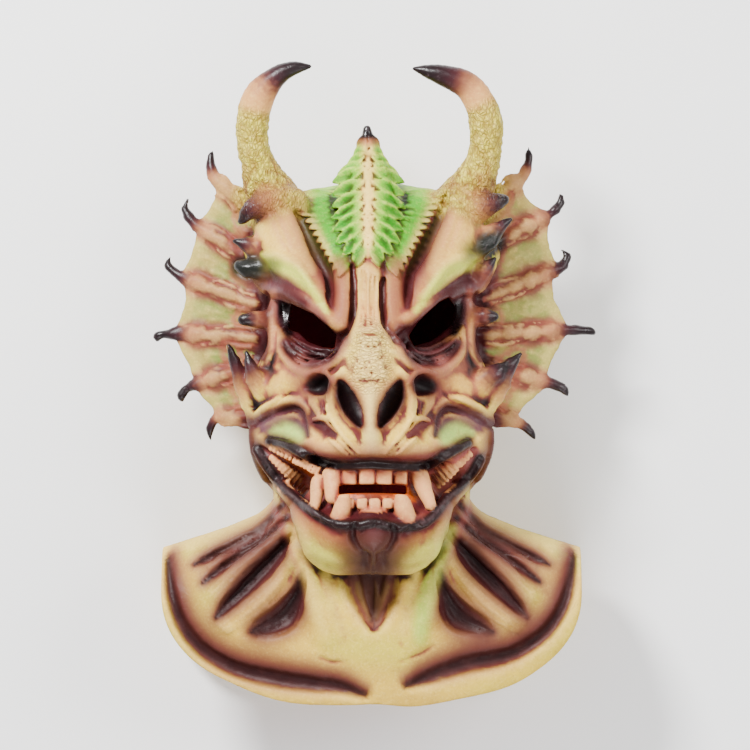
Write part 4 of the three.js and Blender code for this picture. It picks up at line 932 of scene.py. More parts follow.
def sculpt():
    """The finished clay, how far the teeth stand out, and the grid before it was opened and hollowed."""
    clay = Clay(BOX_LOW, BOX_HIGH, CELL)
    bib(clay)
    head(clay)
    brows(clay)
    eye_sockets(clay)
    nose(clay)
    nose_wrinkles(clay)
    cheeks(clay)
    temples(clay)
    teeth = mouth(clay)
    chin(clay)
    core = clay.field.copy()
    horns(clay)
    crest(clay)
    scales(clay)
    clay.ropes(SPIKES, 5, 4)
    for ribs in FANS:
        fan(clay, ribs)
    clay.measure_skin()
    unevenness(clay)
    solid = clay.field.copy()
    openings(clay)
    z = clay.axes[2][None, None, :]
    clay.field = np.maximum(clay.field, -np.maximum(core + WALL, WALL - z))
    trim(clay)
    return clay, teeth, solid


def skin_mesh(clay):
    """The surface of the clay as one mesh of at most TRIANGLES triangles, still in millimetres."""
    grid = openvdb.FloatGrid(FAR)
    grid.copyFromArray(clay.field)
    points, triangles, quads = grid.convertToPolygons(isovalue=0.0, adaptivity=0.0)
    points = points * clay.cell + clay.low
    faces = np.vstack([triangles.reshape(-1, 3), quads[:, [0, 1, 2]], quads[:, [0, 2, 3]]])
    mesh = bpy.data.meshes.new("skin_full")
    mesh.from_pydata(points.tolist(), [], faces.tolist())
    a, b, c = [points[faces[:, n]] for n in range(3)]
    if np.einsum("ij,ij->i", a, np.cross(b, c)).sum() < 0:
        mesh.flip_normals()
    carrier = bpy.data.objects.new("skin_full", mesh)
    bpy.context.scene.collection.objects.link(carrier)
    thin = carrier.modifiers.new("thin", "DECIMATE")
    thin.ratio = min(1.0, TRIANGLES / len(faces))
    final = bpy.data.meshes.new_from_object(
        carrier.evaluated_get(bpy.context.evaluated_depsgraph_get())
    )
    bpy.data.objects.remove(carrier)
    return final


def blurred(block, reach, axes=(0, 1, 2)):
    """A grid averaged three times over 2 * reach + 1 cells along each axis."""
    span = 2 * reach + 1
    for _ in range(3):
        for axis in axes:
            ends = [(0, 0)] * block.ndim
            ends[axis] = (reach + 1, reach)
            sums = np.cumsum(np.pad(block, ends, mode="edge"), axis=axis, dtype=np.float64)
            count = block.shape[axis]
            upper = np.take(sums, np.arange(span, span + count), axis=axis)
            lower = np.take(sums, np.arange(0, count), axis=axis)
            block = ((upper - lower) / span).astype(np.float32)
    return block


class Paint:
    """Paint laid on the skin's points, coat over coat, in sRGB colour."""

    def __init__(self, points, normals):
        self.points = points
        self.front = smoothstep(-0.45, 0.1, normals[:, 2])
        self.colour = np.tile(CREAM, (len(points), 1))
        self.wet = np.zeros(len(points))
        self.pebble = np.zeros(len(points))
        self.net = np.zeros(len(points))

    def coat(self, colour, amount, wet=None):
        """Mixes a colour in, from 0 for none of it to 1 for nothing else, and how wet it looks."""
        amount = np.clip(amount, 0, 1)
        self.colour += (np.array(colour) - self.colour) * amount[:, None]
        if wet is not None:
            self.wet += (wet - self.wet) * amount

    def under(self, rows, soft):
        """How fully each point lies under a brush drawn through rows of x, y and half-width."""
        s = along(rows, 7)
        x, y = self.points[:, 0], self.points[:, 1]
        nearest = np.full(len(x), 9.0)
        for a, b in zip(s[:-1], s[1:]):
            run = b[:2] - a[:2]
            dot = (x - a[0]) * run[0] + (y - a[1]) * run[1]
            t = np.clip(dot / (run @ run + 1e-9), 0, 1)
            away = np.hypot(x - a[0] - t * run[0], y - a[1] - t * run[1])
            nearest = np.minimum(nearest, away / (a[2] + (b[2] - a[2]) * t))
        return (1 - smoothstep(1 - soft, 1 + soft, nearest)) * self.front

    def under_any(self, strokes, soft):
        amount = np.zeros(len(self.points))
        for rows in strokes:
            amount = np.maximum(amount, self.under(rows, soft))
        return amount

    def brush(self, colour, strokes, strength, soft, wet=None):
        """One coat through several strokes at once."""
        self.coat(colour, strength * self.under_any(strokes, soft), wet)

    def both(self, colour, rows, strength, soft, wet=None, middle=0):
        """One coat through a stroke and its mirror image."""
        self.brush(colour, mirrored(rows, middle), strength, soft, wet)

    def along_rope(self, rows):
        """For each point, how far along a rope it lies, from 0 to 1, and how near it, in radii."""
        s = np.array(rows, float)
        lengths = np.linalg.norm(np.diff(s[:, :3], axis=0), axis=1)
        starts = np.concatenate([[0], np.cumsum(lengths)])
        where = np.zeros(len(self.points))
        nearest = np.full(len(self.points), 99.0)
        box_low = (s[:, :3] - 3 * s[:, 3:]).min(0)
        box_high = (s[:, :3] + 3 * s[:, 3:]).max(0)
        close = np.all((self.points > box_low) & (self.points < box_high), axis=1)
        p = self.points[close]
        best, place = nearest[close], where[close]
        for i, (a, b) in enumerate(zip(s[:-1], s[1:])):
            run = b[:3] - a[:3]
            t = np.clip((p - a[:3]) @ run / (run @ run + 1e-9), 0, 1)
            away = np.linalg.norm(p - a[:3] - t[:, None] * run, axis=1) / (a[3] + (b[3] - a[3]) * t)
            place = np.where(away < best, (starts[i] + lengths[i] * t) / starts[-1], place)
            best = np.minimum(best, away)
        nearest[close], where[close] = best, place
        return where, nearest


def crevices(clay, solid, points):
    """How deep each point lies below what is around it: broadly, closely and finely."""
    cell = 2 * clay.cell
    filled = np.clip(0.5 - solid[::2, ::2, ::2] / cell, 0, 1)
    places = (points - clay.low) / cell
    out = []
    for size in (BROAD, CLOSE):
        out.append(read_grid(blurred(filled, max(1, round(size / cell))), places) - 0.5)
    reach = max(1, round(FINE / clay.cell))
    sunk = np.clip(blurred(clay.heights.astype(np.float32), reach, (0, 1)) - clay.heights, -3, 3)
    seen = smoothstep(-6, -1.5, points[:, 2] - clay.skin(points[:, 0], points[:, 1]))
    out.append(clay.skin(points[:, 0], points[:, 1], sunk) * seen)
    return out


def paint_mask(clay, teeth, solid, points, normals):
    broad, close, fine = crevices(clay, solid, points)
    paint = Paint(points, normals)
    x, y, z = points.T
    side = np.abs(x)
    blotch = lattice_noise(points, 17, 1)
    fleck = lattice_noise(points, 5, 2)
    ragged = 0.6 * blotch + 0.4 * fleck

    # The ground: cream, with tan and pale green clouds over it.
    paint.coat(TAN, 0.45 * smoothstep(0.42, 0.8, lattice_noise(points, 42, 3)))
    paint.coat(PALE_GREEN, 0.4 * smoothstep(0.45, 0.75, lattice_noise(points, 55, 4)))
    paint_tints(paint)
    paint_fans(paint, ragged, fine)

    # Washes: rose, then maroon, then nearly black, the deeper the darker; partly the mask's own
    # airbrushed paint, partly painted shade in its hollows.
    wash_and_shade = 2.0 * np.clip(broad, 0, 1) + 2.0 * np.clip(close, 0, 1) + 0.2 * np.clip(fine, 0, 3)
    wash_and_shade = wash_and_shade * (0.85 + 0.3 * ragged)
    on_fan = smoothstep(100, 118, side) * (y > -50) * (z < 125)
    on_bib = smoothstep(-92, -104, y) * (z < 165)
    wash_and_shade = wash_and_shade * (1 - 0.6 * on_fan) * (1 - 0.65 * on_bib)
    paint.coat(ROSE, 0.85 * smoothstep(0.04, 0.2, wash_and_shade))
    paint.coat(MAROON, 0.95 * smoothstep(0.14, 0.42, wash_and_shade), 0.2)
    paint.coat(DARK, 0.9 * smoothstep(0.42, 0.8, wash_and_shade), 0.35)
    # Raised edges are lightened to cream, a painted highlight.
    raised = np.clip(-1.4 * close, 0, 1) + 0.3 * np.clip(-fine, 0, 2)
    paint.coat((0.95, 0.79, 0.46), 0.5 * smoothstep(0.14, 0.5, raised) * paint.front)
    paint_forehead(paint, fine)
    paint_face(paint, fine)
    paint_mouth(paint, fine, clay, teeth)
    paint_bib(paint, wash_and_shade)
    paint_tips(paint, ragged)
    paint_inside(paint, clay.sample(points, solid))
    return paint


def paint_tints(paint):
    """Greens on the brow, the chin, the sinews, the shoulders and the hem, and ochre on the bib."""
    paint.both(PALE_GREEN, [(104, 114, 10), (84, 109, 10), (68, 103, 9), (57, 92, 7)], 0.9, 0.6)
    paint.both((0.60, 0.72, 0.24), [(86, 108, 5), (70, 103, 6), (59, 93, 5)], 0.6, 0.9)
    paint.both(PALE_GREEN, [(72, -112, 12), (60, -145, 15), (24, -158, 12)], 0.85, 0.8)
    paint.brush((0.66, 0.76, 0.26), [[(-66, -118, 7), (-55, -146, 9), (-30, -160, 6)]], 0.5, 0.9)
    paint.both(PALE_GREEN, [(84, -92, 8), (72, -130, 10), (58, -168, 10)], 0.7, 0.8)
    sinew = [(70, -104, 6), (64, -136, 9), (48, -166, 10), (46, -202, 8), (44, -226, 6)]
    paint.brush((0.52, 0.80, 0.28), [sinew], 0.85, 0.8)
    shoulder = [(92, -110, 6), (120, -128, 9), (160, -138, 11), (186, -160, 7)]
    paint.brush((0.60, 0.78, 0.30), [shoulder], 0.6, 0.9)
    paint.brush(PALE_GREEN, [[(-92, -118, 6), (-124, -132, 9), (-165, -146, 9)]], 0.6, 0.9)
    paint.both(PALE_GREEN, [(142, -188, 9), (112, -164, 6), (84, -134, 4)], 0.55, 0.9)
    paint.brush(PALE_GREEN, [[(-30, -232, 16), (34, -236, 18)]], 0.5, 0.9)
    paint.coat((0.76, 0.66, 0.22), 0.45 * smoothstep(-95, -125, paint.points[:, 1]))


def paint_fans(paint, ragged, fine):
    """The webs are green, and the ribs fleshy with pink edges."""
    x, y, z = paint.points.T
    for ribs in FANS:
        same = np.sign(x) == np.sign(ribs[0][0][0])
        web = smoothstep(88, 104, np.abs(x)) * (y > -52) * (y < 222) * (z < 132) * same
        paint.coat((0.38, 0.38, 0.15), 0.95 * web)
        paint.coat((0.24, 0.38, 0.12), 0.8 * web * smoothstep(0.3, 0.6, ragged))
        # The web is paler where it stands up, a painted highlight.
        paint.coat((0.60, 0.56, 0.24), 0.35 * web * smoothstep(0.3, 1.2, -fine))
        for rows in fan_ropes(ribs):
            near = paint.along_rope(rows)[1]
            # Each rib is darkened at its sides, a painted shade, and paler along its top, a painted
            # highlight.
            shaded_rib = (1 - smoothstep(1.5, 2.3, near)) * (z > 60)
            paint.coat((0.34, 0.14, 0.14), 0.9 * shaded_rib)
            top = 0.9 * (1 - smoothstep(0.8, 1.1, near)) * shaded_rib
            paint.coat((0.64, 0.42, 0.26), top * (0.6 + 0.4 * ragged))
        for rows in fan_folds(ribs):
            near = paint.along_rope(rows)[1]
            # Low skin beside each fold is darkened, a painted shade, and the fold's top is paler, a
            # painted highlight.
            beside = 0.75 * (1 - smoothstep(1.2, 1.9, near))
            paint.coat((0.40, 0.15, 0.16), beside * smoothstep(-0.1, 0.5, fine))
            paint.coat((0.66, 0.42, 0.30), 0.7 * (1 - smoothstep(0.8, 1.2, near)) * (fine < 0.1))


def paint_forehead(paint, fine):
    """Green scales with paler edges, the hollows beside them and the pale spine between them."""
    x, y, _ = paint.points.T
    # The hollow between the scales and the brow plates.
    seam = [
        (72, 178, 7), (62, 156, 9), (53, 136, 10), (45, 116, 10), (37, 102, 8), (34, 86, 6),
        (34, 72, 4),
    ]
    scalp = [(16, 190, 10), (38, 184, 9), (60, 182, 7)]
    paint.both((0.30, 0.66, 0.08), scalp, 0.9, 0.7, middle=FACE_MIDDLE)
    wide = [[(1.04 * a, b, c + 9) for a, b, c in rows] for rows in mirrored(seam, FACE_MIDDLE + 1)]
    paint.brush(ROSE, wide, 0.7, 0.9)
    outer = [(a + 7, b, c + 3) for a, b, c in seam[:5]]
    paint.both((0.48, 0.26, 0.22), outer, 0.5, 0.95, middle=FACE_MIDDLE)
    paint.both(MAROON, seam, 0.92, 0.75, 0.3, middle=FACE_MIDDLE + 1)
    offset = np.abs(x - FACE_MIDDLE)
    open_skin = 1 - 0.85 * smoothstep(0.5, 1.4, fine)
    for kind, root, tip, half in forehead_scales():
        (x0, y0), (x1, y1) = root, tip
        length = math.hypot(x1 - x0, y1 - y0)
        t = ((offset - x0) * (x1 - x0) + (y - y0) * (y1 - y0)) / length**2
        off = np.abs((offset - x0) * (y1 - y0) - (y - y0) * (x1 - x0)) / length
        inside = np.clip(t, 0, 1)
        width = leaf_width(inside, half) + 0.3
        on = (1 - smoothstep(0.85, 1.15, off / width)) * (t > 0) * (t < 1.04) * paint.front
        if kind == "inner":
            paint.coat((0.42, 0.68, 0.10), on * open_skin)
            centre = 1 - 0.5 * smoothstep(0.6, 0.95, off / width)
            paint.coat(LEAF, on * smoothstep(0.2, 0.55, t) * centre * open_skin)
            paint.coat((0.84, 0.76, 0.32), 0.55 * on * (1 - smoothstep(0.05, 0.3, t)) * open_skin)
            middle = on * (1 - smoothstep(0.2, 0.55, off / width)) * smoothstep(0.25, 0.5, t)
            paint.coat((0.10, 0.36, 0.03), 0.5 * middle)
            edge = 0.6 * on * smoothstep(0.6, 0.9, off / width)
            paint.coat((0.78, 0.84, 0.34), edge * smoothstep(0.1, 0.4, t))
        else:
            paint.coat((0.20, 0.56, 0.04), 0.95 * on * open_skin)
            paint.coat((0.74, 0.58, 0.34), 0.8 * on * smoothstep(0.5, 0.8, t) * open_skin)
            paint.coat((0.34, 0.13, 0.14), 0.7 * on * smoothstep(0.78, 1.0, t) * open_skin)
    gaps = paint.under([(-3, 205, 14), (-3, 180, 66), (-3, 140, 50), (-3, 104, 26)], 0.15)
    # Darker green where the skin lies low among the scales, a painted shade under their tips, and paler
    # where it stands up, a painted highlight.
    paint.coat((0.14, 0.22, 0.04), 0.65 * gaps * smoothstep(0.2, 0.9, fine))
    paint.coat((0.80, 0.84, 0.34), 0.3 * smoothstep(0.5, 1.6, -fine) * gaps)
    spine = paint.under([(-3, 226, 5), (-3, 180, 6), (-3, 128, 5)], 0.6)
    # On the spine, cream where it stands up is its own colour; the brown where it lies low between the
    # beads is painted shade.
    paint.coat((0.92, 0.78, 0.42), 0.8 * spine * (1 - smoothstep(0.2, 0.8, fine)))
    paint.coat((0.36, 0.20, 0.10), 0.7 * spine * smoothstep(0.1, 0.6, fine))


def paint_face(paint, fine):
    # Bone colour on the brow plates, with shade at the horns and streaks down from it.
    plate = [(88, 160, 14), (80, 138, 17), (70, 122, 15), (58, 106, 8)]
    paint.both((0.86, 0.72, 0.34), plate, 0.5, 0.5)
    paint.both((0.50, 0.27, 0.22), [(74, 172, 9), (90, 168, 9)], 0.45, 0.95)
    streaks = [[(96 - 9 * k, 170, 1.6), (88 - 9 * k, 146, 2.4), (78 - 7 * k, 126, 1.6)] for k in range(3)]
    paint.brush((0.72, 0.46, 0.34), all_mirrored(streaks), 0.35, 0.9)
    # The plates' outer ends darken towards the spikes.
    band = [(106, 98, 10), (92, 94, 10), (76, 87, 9), (62, 77, 8), (50, 66, 6), (42, 58, 4)]
    paint.both((0.42, 0.22, 0.22), band, 0.85, 0.8, 0.4)
    paint.both(MAROON, [(100, 100, 7), (88, 95, 8), (75, 86, 7), (61, 75, 5)], 0.85, 0.8, 0.4)
    paint.both(MAUVE, [(96, 92, 5), (84, 88, 4)], 0.6, 0.9, 0.5)
    paint.both((0.66, 0.44, 0.26), [(70, 73, 3), (54, 60, 3.5), (40, 49, 3)], 0.6, 0.9)
    ledge = [(100, 112, 5), (84, 109, 5), (68, 103, 5), (57, 92, 4), (48, 80, 3.5), (40, 68, 2.5)]
    paint.both((0.74, 0.78, 0.26), ledge, 0.85, 0.7)
    paint.both(MAROON, [(90, 158, 9), (106, 161, 10)], 0.6, 0.9)
    # Round the eyes: dark sockets, wet at the outer corners, and the wrinkled bags.
    socket = [(85, 74, 9), (74, 60, 14), (56, 46, 16), (38, 40, 13), (28, 43, 9)]
    for rows, lift in zip(mirrored(socket), (7, 0)):
        paint.brush(MAROON, [[(a, b + lift, c) for a, b, c in rows]], 0.95, 0.5, 0.6)
    bag = [(77, 38, 5), (67, 31, 9), (54, 27, 10), (41, 30, 9), (32, 39, 6)]
    paint.both(MAROON, [(a, b, c + 2) for a, b, c in bag], 0.92, 0.5, 0.45)
    bags = paint.under_any(mirrored(bag), 0.5)
    paint.coat(DARK, 0.4 * bags)
    paint.coat((0.44, 0.21, 0.24), 0.35 * bags * smoothstep(0.3, 1.0, -fine))
    rim = [(84, 52, 3), (82, 31, 3.5), (65, 12, 3.5), (46, 12, 3.5), (29, 23, 3.5), (23, 40, 3)]
    paint.both((0.62, 0.40, 0.28), rim, 0.5, 0.8)
    paint.both(MAUVE, [(84, 76, 5), (81, 62, 5)], 0.8, 0.8, 0.9)
    paint.both(DARK, [(78, 72, 5), (76, 58, 5), (74, 50, 4)], 0.9, 0.7, 0.9)
    # Beside the bridge, and its pink folds.
    paint.brush((0.80, 0.50, 0.38), [[(-3, 112, 10), (-2, 88, 11), (-2, 60, 10)]], 0.45, 0.7)
    seam = [(13, 110, 2.5), (13.5, 88, 3), (14, 66, 3.5), (19, 50, 4), (28, 40, 4)]
    paint.both(MAROON, seam, 0.9, 0.8, 0.5, middle=FACE_MIDDLE)
    paint.both((0.50, 0.26, 0.21), [(24, 112, 7), (22, 84, 8), (24, 60, 7)], 0.7, 0.9, middle=FACE_MIDDLE)
    top = [(-1, 42, 14), (-1, 20, 20), (-1, 4, 12), (-1, -30, 6), (0, -52, 10)]
    paint.brush((0.95, 0.86, 0.58), [top], 0.55, 0.8)
    paint.net = paint.under([(-2, 52, 11), (-1, 42, 15), (-1, 28, 20), (-1, 14, 20)], 0.3)
    paint.coat((0.40, 0.22, 0.13), 0.85 * paint.net * smoothstep(0.05, 0.55, fine))
    folds = paint.under([(-3, 110, 12), (-3, 56, 12)], 0.3)
    paint.coat((0.46, 0.20, 0.17), 0.85 * folds * smoothstep(0.1, 0.7, fine))
    # The folds round the snout, and the skin over the lip.
    flames = paint.under([(0, -62, 16), (0, -36, 34), (0, -14, 44)], 0.2)
    paint.coat((0.36, 0.15, 0.15), 0.9 * flames * smoothstep(0.05, 0.5, fine))
    over_lip = [[(a, b + up, wide) for a, b in UPPER_LIP[1:-1]] for up, wide in ((12, 7), (5, 6))]
    paint.brush((0.62, 0.38, 0.30), over_lip[:1], 0.55, 0.95)
    paint.brush(MAROON, over_lip[1:], 0.5, 0.9, 0.2)
    # Nostrils, pits and slots.
    nostril = [(26, 3, 3.5), (22, -8, 8), (16, -20, 7), (10, -32, 3)]
    pit = [(57, 0, 4), (50, 2, 8), (44, 3, 8.5)]
    halo = [[(a, b, c + 4) for a, b, c in rows] for rows in mirrored(nostril, -1) + mirrored(pit)]
    paint.brush(ROSE, halo, 0.6, 0.8)
    paint.brush(MAROON, [[(a, b, c - 1.5) for a, b, c in rows] for rows in halo], 0.85, 0.6)
    deep = mirrored(nostril, -1) + mirrored([(53, 1, 5), (46, 2, 8)])
    paint.brush((0.06, 0.012, 0.02), deep, 1, 0.5, 0.1)
    slot = [(52, -31, 4), (43, -36, 5.5), (33, -42, 3)]
    paint.both((0.46, 0.20, 0.19), slot, 0.8, 0.9, 0.3)
    paint.brush(MAROON, [flip(slot)], 0.85, 0.9, 0.3)
    # The sides of the snout and the skin under the eyes are shaded.
    snout = [(60, 26, 5), (67, 8, 7), (62, -12, 8), (50, -22, 6)]
    paint.both((0.48, 0.25, 0.23), snout, 0.6, 0.95)
    paint.both((0.50, 0.24, 0.22), [(58, 12, 3), (38, 18, 3), (34, 6, 2)], 0.5, 0.95)
    paint.both((0.46, 0.20, 0.19), [(54, -60, 3), (34, -63, 3.5), (14, -64, 2.5)], 0.75, 0.9)
    # Cheeks: a mauve hollow with a green patch, under a dark arch.
    arch = [(107, -34, 4), (97, -26, 5), (82, -20, 5), (68, -18, 5), (60, -26, 4), (57, -42, 3)]
    paint.both(MAROON, arch, 0.9, 0.7, 0.5)
    paint.both(MAUVE, [(96, -35, 7), (82, -32, 9), (70, -34, 9)], 0.8, 0.6)
    paint.both((0.66, 0.80, 0.36), [(88, -42, 5), (76, -40, 9), (68, -44, 8)], 0.95, 0.6)
    paint.both(MAROON, [(112, -32, 8), (112, -54, 11), (106, -76, 10), (96, -90, 6)], 0.9, 0.8, 0.3)
    # The hollow of each temple.
    paint.both(MAROON, [(95, 82, 4), (97, 60, 6), (97, 38, 7), (98, 26, 5)], 0.9, 0.6, 0.4)
    paint.both((0.78, 0.46, 0.36), [(88, 86, 3), (88, 56, 3), (88, 34, 3)], 0.5, 0.9)
    paint.both((0.72, 0.44, 0.36), [(66, 24, 6), (84, 10, 8), (92, -8, 6)], 0.3, 0.9)


def paint_mouth(paint, fine, clay, tooth_rise):
    """Gums and the dark of the mouth, then the chin, the lips and the teeth."""
    x, y, z = paint.points.T
    paint.brush(GUM, [[(a, b, c + 1) for a, b, c, _ in GAP]], 0.95, 0.3, 0.5)
    below = [(-62, -94, 4), (-44, -107, 6), (0, -112, 8), (40, -108, 6), (62, -92, 4)]
    paint.brush(MAROON, [below], 0.85, 0.7, 0.7)
    strip = [(-84, -59, 1.2), (-66, -70, 2), (-50, -80, 2.4)]
    paint.brush(DARK, [[(a, b + 1.4, 1.3 * c) for a, b, c in strip]], 0.9, 0.5)
    paint.brush(ORANGE, [strip], 0.95, 0.4)
    between_teeth = [[(-30, -97, 2.8), (0, -96.5, 3.2), (22, -97, 2.8)], [(29, -90, 3), (37, -98, 4)]]
    paint.brush(ORANGE, between_teeth, 0.95, 0.4)
    paint.brush((0.62, 0.33, 0.28), [
        [(-88, -67, 2.5), (-70, -83, 4), (-54, -97, 3.5)],
        [(88, -64, 3), (72, -80, 5), (57, -96, 3.5)],
    ], 0.85, 0.8, 0.4)
    # The chin: maroon fades down from the lip over a mauve boss.
    paint.both(ROSE, [(28, -132, 12), (48, -124, 11), (68, -108, 8)], 0.7, 0.95)
    paint.brush(MAROON, [[(2, -124, 34), (2, -137, 25), (2, -150, 15), (2, -161, 8)]], 0.85, 0.7, 0.35)
    paint.both((0.76, 0.73, 0.27), [(50, -144, 6), (42, -154, 8), (33, -159, 6)], 0.9, 0.7)
    paint.brush((0.15, 0.045, 0.06), [[(2, -124, 20), (2, -136, 13), (2, -150, 6)]], 0.65, 0.95, 0.3)
    paint.brush(MAUVE, [[(2, -130, 7), (2, -139, 6)]], 0.5, 0.9, 0.5)
    paint.both(DARK, [(18, -122, 3), (19, -133, 3.5), (14, -143, 2.5)], 0.4, 0.9, 0.3, middle=2)
    for lip in (UPPER_LIP, LOWER_LIP):
        paint.brush(MAROON, [[(a, b, 7) for a, b in lip]], 0.75, 0.7, 0.4)
        paint.brush((0.09, 0.035, 0.04), [[(a, b, 4.4) for a, b in lip]], 0.95, 0.4, 0.45)
    greyed = [[(a, b, 1.4) for a, b in LOWER_LIP[:5]], [(a, b, 1.4) for a, b in LOWER_LIP[9:]]]
    paint.brush((0.30, 0.24, 0.25), greyed, 0.6, 0.9)
    # What faces away from the camera round the mouth is painted dark, a painted shade under the lips.
    paint.coat(DARK, 0.9 * (1 - paint.front) * (z > 165) * (y < -45) * (y > -135))
    # Teeth, where no lip lies over them.
    lips = [[(a, b - drop, 4.2) for a, b in lip] for lip, drop in ((UPPER_LIP, 1), (LOWER_LIP, 0))]
    teeth = smoothstep(0.2, 0.9, clay.sample(paint.points, tooth_rise)) * paint.front
    teeth = teeth * (1 - paint.under_any(lips, 0.25))
    paint.coat(TOOTH, teeth, 0.35)
    # Darker where a tooth lies low and paler where it stands out: painted shade and painted highlight.
    paint.coat((0.46, 0.17, 0.14), 0.7 * teeth * smoothstep(0.3, 1.3, fine))
    paint.coat((0.93, 0.68, 0.44), 0.6 * teeth * smoothstep(0.3, 1.2, -fine))
    gaps = [[(a, -74, 0.7), (a, -87, 1.0)] for a in (-27, -12, 3.6, 19, 32.5)]
    paint.brush((0.34, 0.10, 0.10), gaps, 0.85, 0.7)
    in_slot = (np.abs(x - SLOT_X) < SLOT_HALF + 1) & (y > -99) & (y < -85)
    paint.coat(ORANGE, 1.0 * (in_slot & (z < clay.skin(x, y) - 3)))


def paint_bib(paint, wash_and_shade):
    """Each hollow darkens from its rim through maroon to nearly black in its middle."""
    streaky = lattice_noise(paint.points * np.array([0.35, 0.35, 1]), 3, 6)
    for rows in HOLLOWS:
        for colour, wider, times, strength in (
            ((0.52, 0.35, 0.25), 6, 1, 0.4), ((0.36, 0.19, 0.18), 3, 1, 0.65), (MAROON, 0, 1, 0.8),
            (DARK, 0, 0.6, 0.6),
        ):
            band = [(a, b, times * c + wider) for a, b, c, _ in rows]
            paint.both(colour, band, strength, 0.95, 0.1)
    for rows in RIM_GROOVES:
        for colour, inward, up, times, strength in (
            ((0.52, 0.35, 0.26), 0.95, 8, 1.4, 0.4), ((0.38, 0.20, 0.20), 0.965, 6, 1.2, 0.6),
            (MAROON, 0.985, 2.5, 1.0, 0.8), (DARK, 1.0, 0, 0.55, 0.55),
        ):
            band = [(inward * a, b + up, times * c) for a, b, c, _ in rows]
            paint.brush(colour, [band], strength, 0.9, 0.1)
    streaks = 0.12 * smoothstep(0.45, 0.8, streaky) * smoothstep(0.05, 0.25, wash_and_shade)
    paint.coat((0.44, 0.27, 0.24), streaks * (paint.points[:, 1] < -90))
    paint.brush((0.34, 0.19, 0.14), [[(1, -162, 28), (2, -186, 19), (2, -206, 9)]], 0.8, 0.6)
    paint.brush(DARK, [[(1, -166, 20), (3, -186, 8), (2, -206, 4)]], 0.35, 0.9)
    paint.both((0.50, 0.24, 0.22), [(88, -110, 3), (76, -134, 3.5), (66, -160, 3)], 0.6, 0.8)
    right, left = [[(x, y, 0.5 * w) for x, y, w, _ in rows] for rows in mirrored(SINEW[1:])]
    paint.both((0.82, 0.71, 0.29), [(41, -168, 5), (35, -195, 5), (27, -219, 4)], 0.85, 0.7)
    paint.brush((0.84, 0.72, 0.32), [left], 0.7, 0.9)
    paint.brush((0.66, 0.76, 0.28), [right], 0.6, 0.9)


def paint_tips(paint, ragged):
    """All tips are nearly black, glossy, and fade through rose to the skin. The horns are pebbled."""
    ropes = [(along(rows, 6), 0.70, 0.80) for rows in HORNS]
    ropes += [(along(rows, 4), 0.5, 0.8) for rows in SPIKES]
    ropes += [(rows, 0.70, 0.78) for ribs in FANS for rows in fan_ropes(ribs)]
    for k, (rows, start, end) in enumerate(ropes):
        where, near = paint.along_rope(rows)
        on = 1 - smoothstep(1.15, 1.6, near)
        if k < len(HORNS):
            scaly = (1 - smoothstep(1.3, 2.2, near)) * (1 - smoothstep(0.52, 0.58, where))
            paint.pebble = np.maximum(paint.pebble, scaly)
            lumps = granules(paint.points)
            foot = 1 - smoothstep(0.05, 0.3, where)
            paint.coat((0.78, 0.74, 0.24), 0.9 * scaly)
            paint.coat((0.96, 0.86, 0.46), 0.75 * scaly * (1 - smoothstep(0.1, 0.4, lumps)))
            paint.coat((0.46, 0.32, 0.12), (0.35 + 0.4 * foot) * scaly * smoothstep(0.46, 0.76, lumps))
            paint.coat((0.50, 0.26, 0.18), 0.4 * scaly * foot * smoothstep(0.4, 0.7, ragged))
            paint.coat((0.90, 0.70, 0.38), on * smoothstep(0.50, 0.58, where))
        paint.coat((0.60, 0.34, 0.25), 0.6 * on * smoothstep(start - 0.28, start, where))
        paint.coat((0.20, 0.07, 0.10), on * smoothstep(start - 0.1, end, where), 0.55)
        paint.coat((0.07, 0.025, 0.035), 0.95 * on * smoothstep(end - 0.1, 0.93, where), 0.7)
    # The outer ends of the brows go from yellow-green to a greenish black.
    inner = [[(-90, 108, 8), (-104, 108, 10)], [(90, 122, 8), (104, 127, 9)]]
    paint.brush((0.22, 0.24, 0.08), inner, 0.7, 0.9, 0.4)
    outer = [[(-106, 108, 8), (-118, 109, 9)], [(103, 129, 8), (112, 131, 9)]]
    paint.brush((0.045, 0.055, 0.04), outer, 0.95, 0.8, 0.7)
    on_crest = np.abs(paint.points[:, 0] - FACE_MIDDLE) < 14
    paint.coat(ROSE, 0.8 * smoothstep(213, 222, paint.points[:, 1]) * on_crest)
    paint.coat(DARK, smoothstep(221, 226, paint.points[:, 1]) * on_crest, 0.9)


def paint_inside(paint, distance):
    """The wall of the hollow and of the openings, found by the distance to the unhollowed skin."""
    _, y, z = paint.points.T
    inside = smoothstep(2.0, 4.0, -distance) * (z > 0.4)
    paint.coat(ORANGE, inside, 0.1)
    paint.coat(TAN, 0.5 * inside)
    # Darker inside the head: partly the inner paint, partly painted shade.
    paint.coat(INSIDE, inside * smoothstep(-150, -120, y), 0.2)


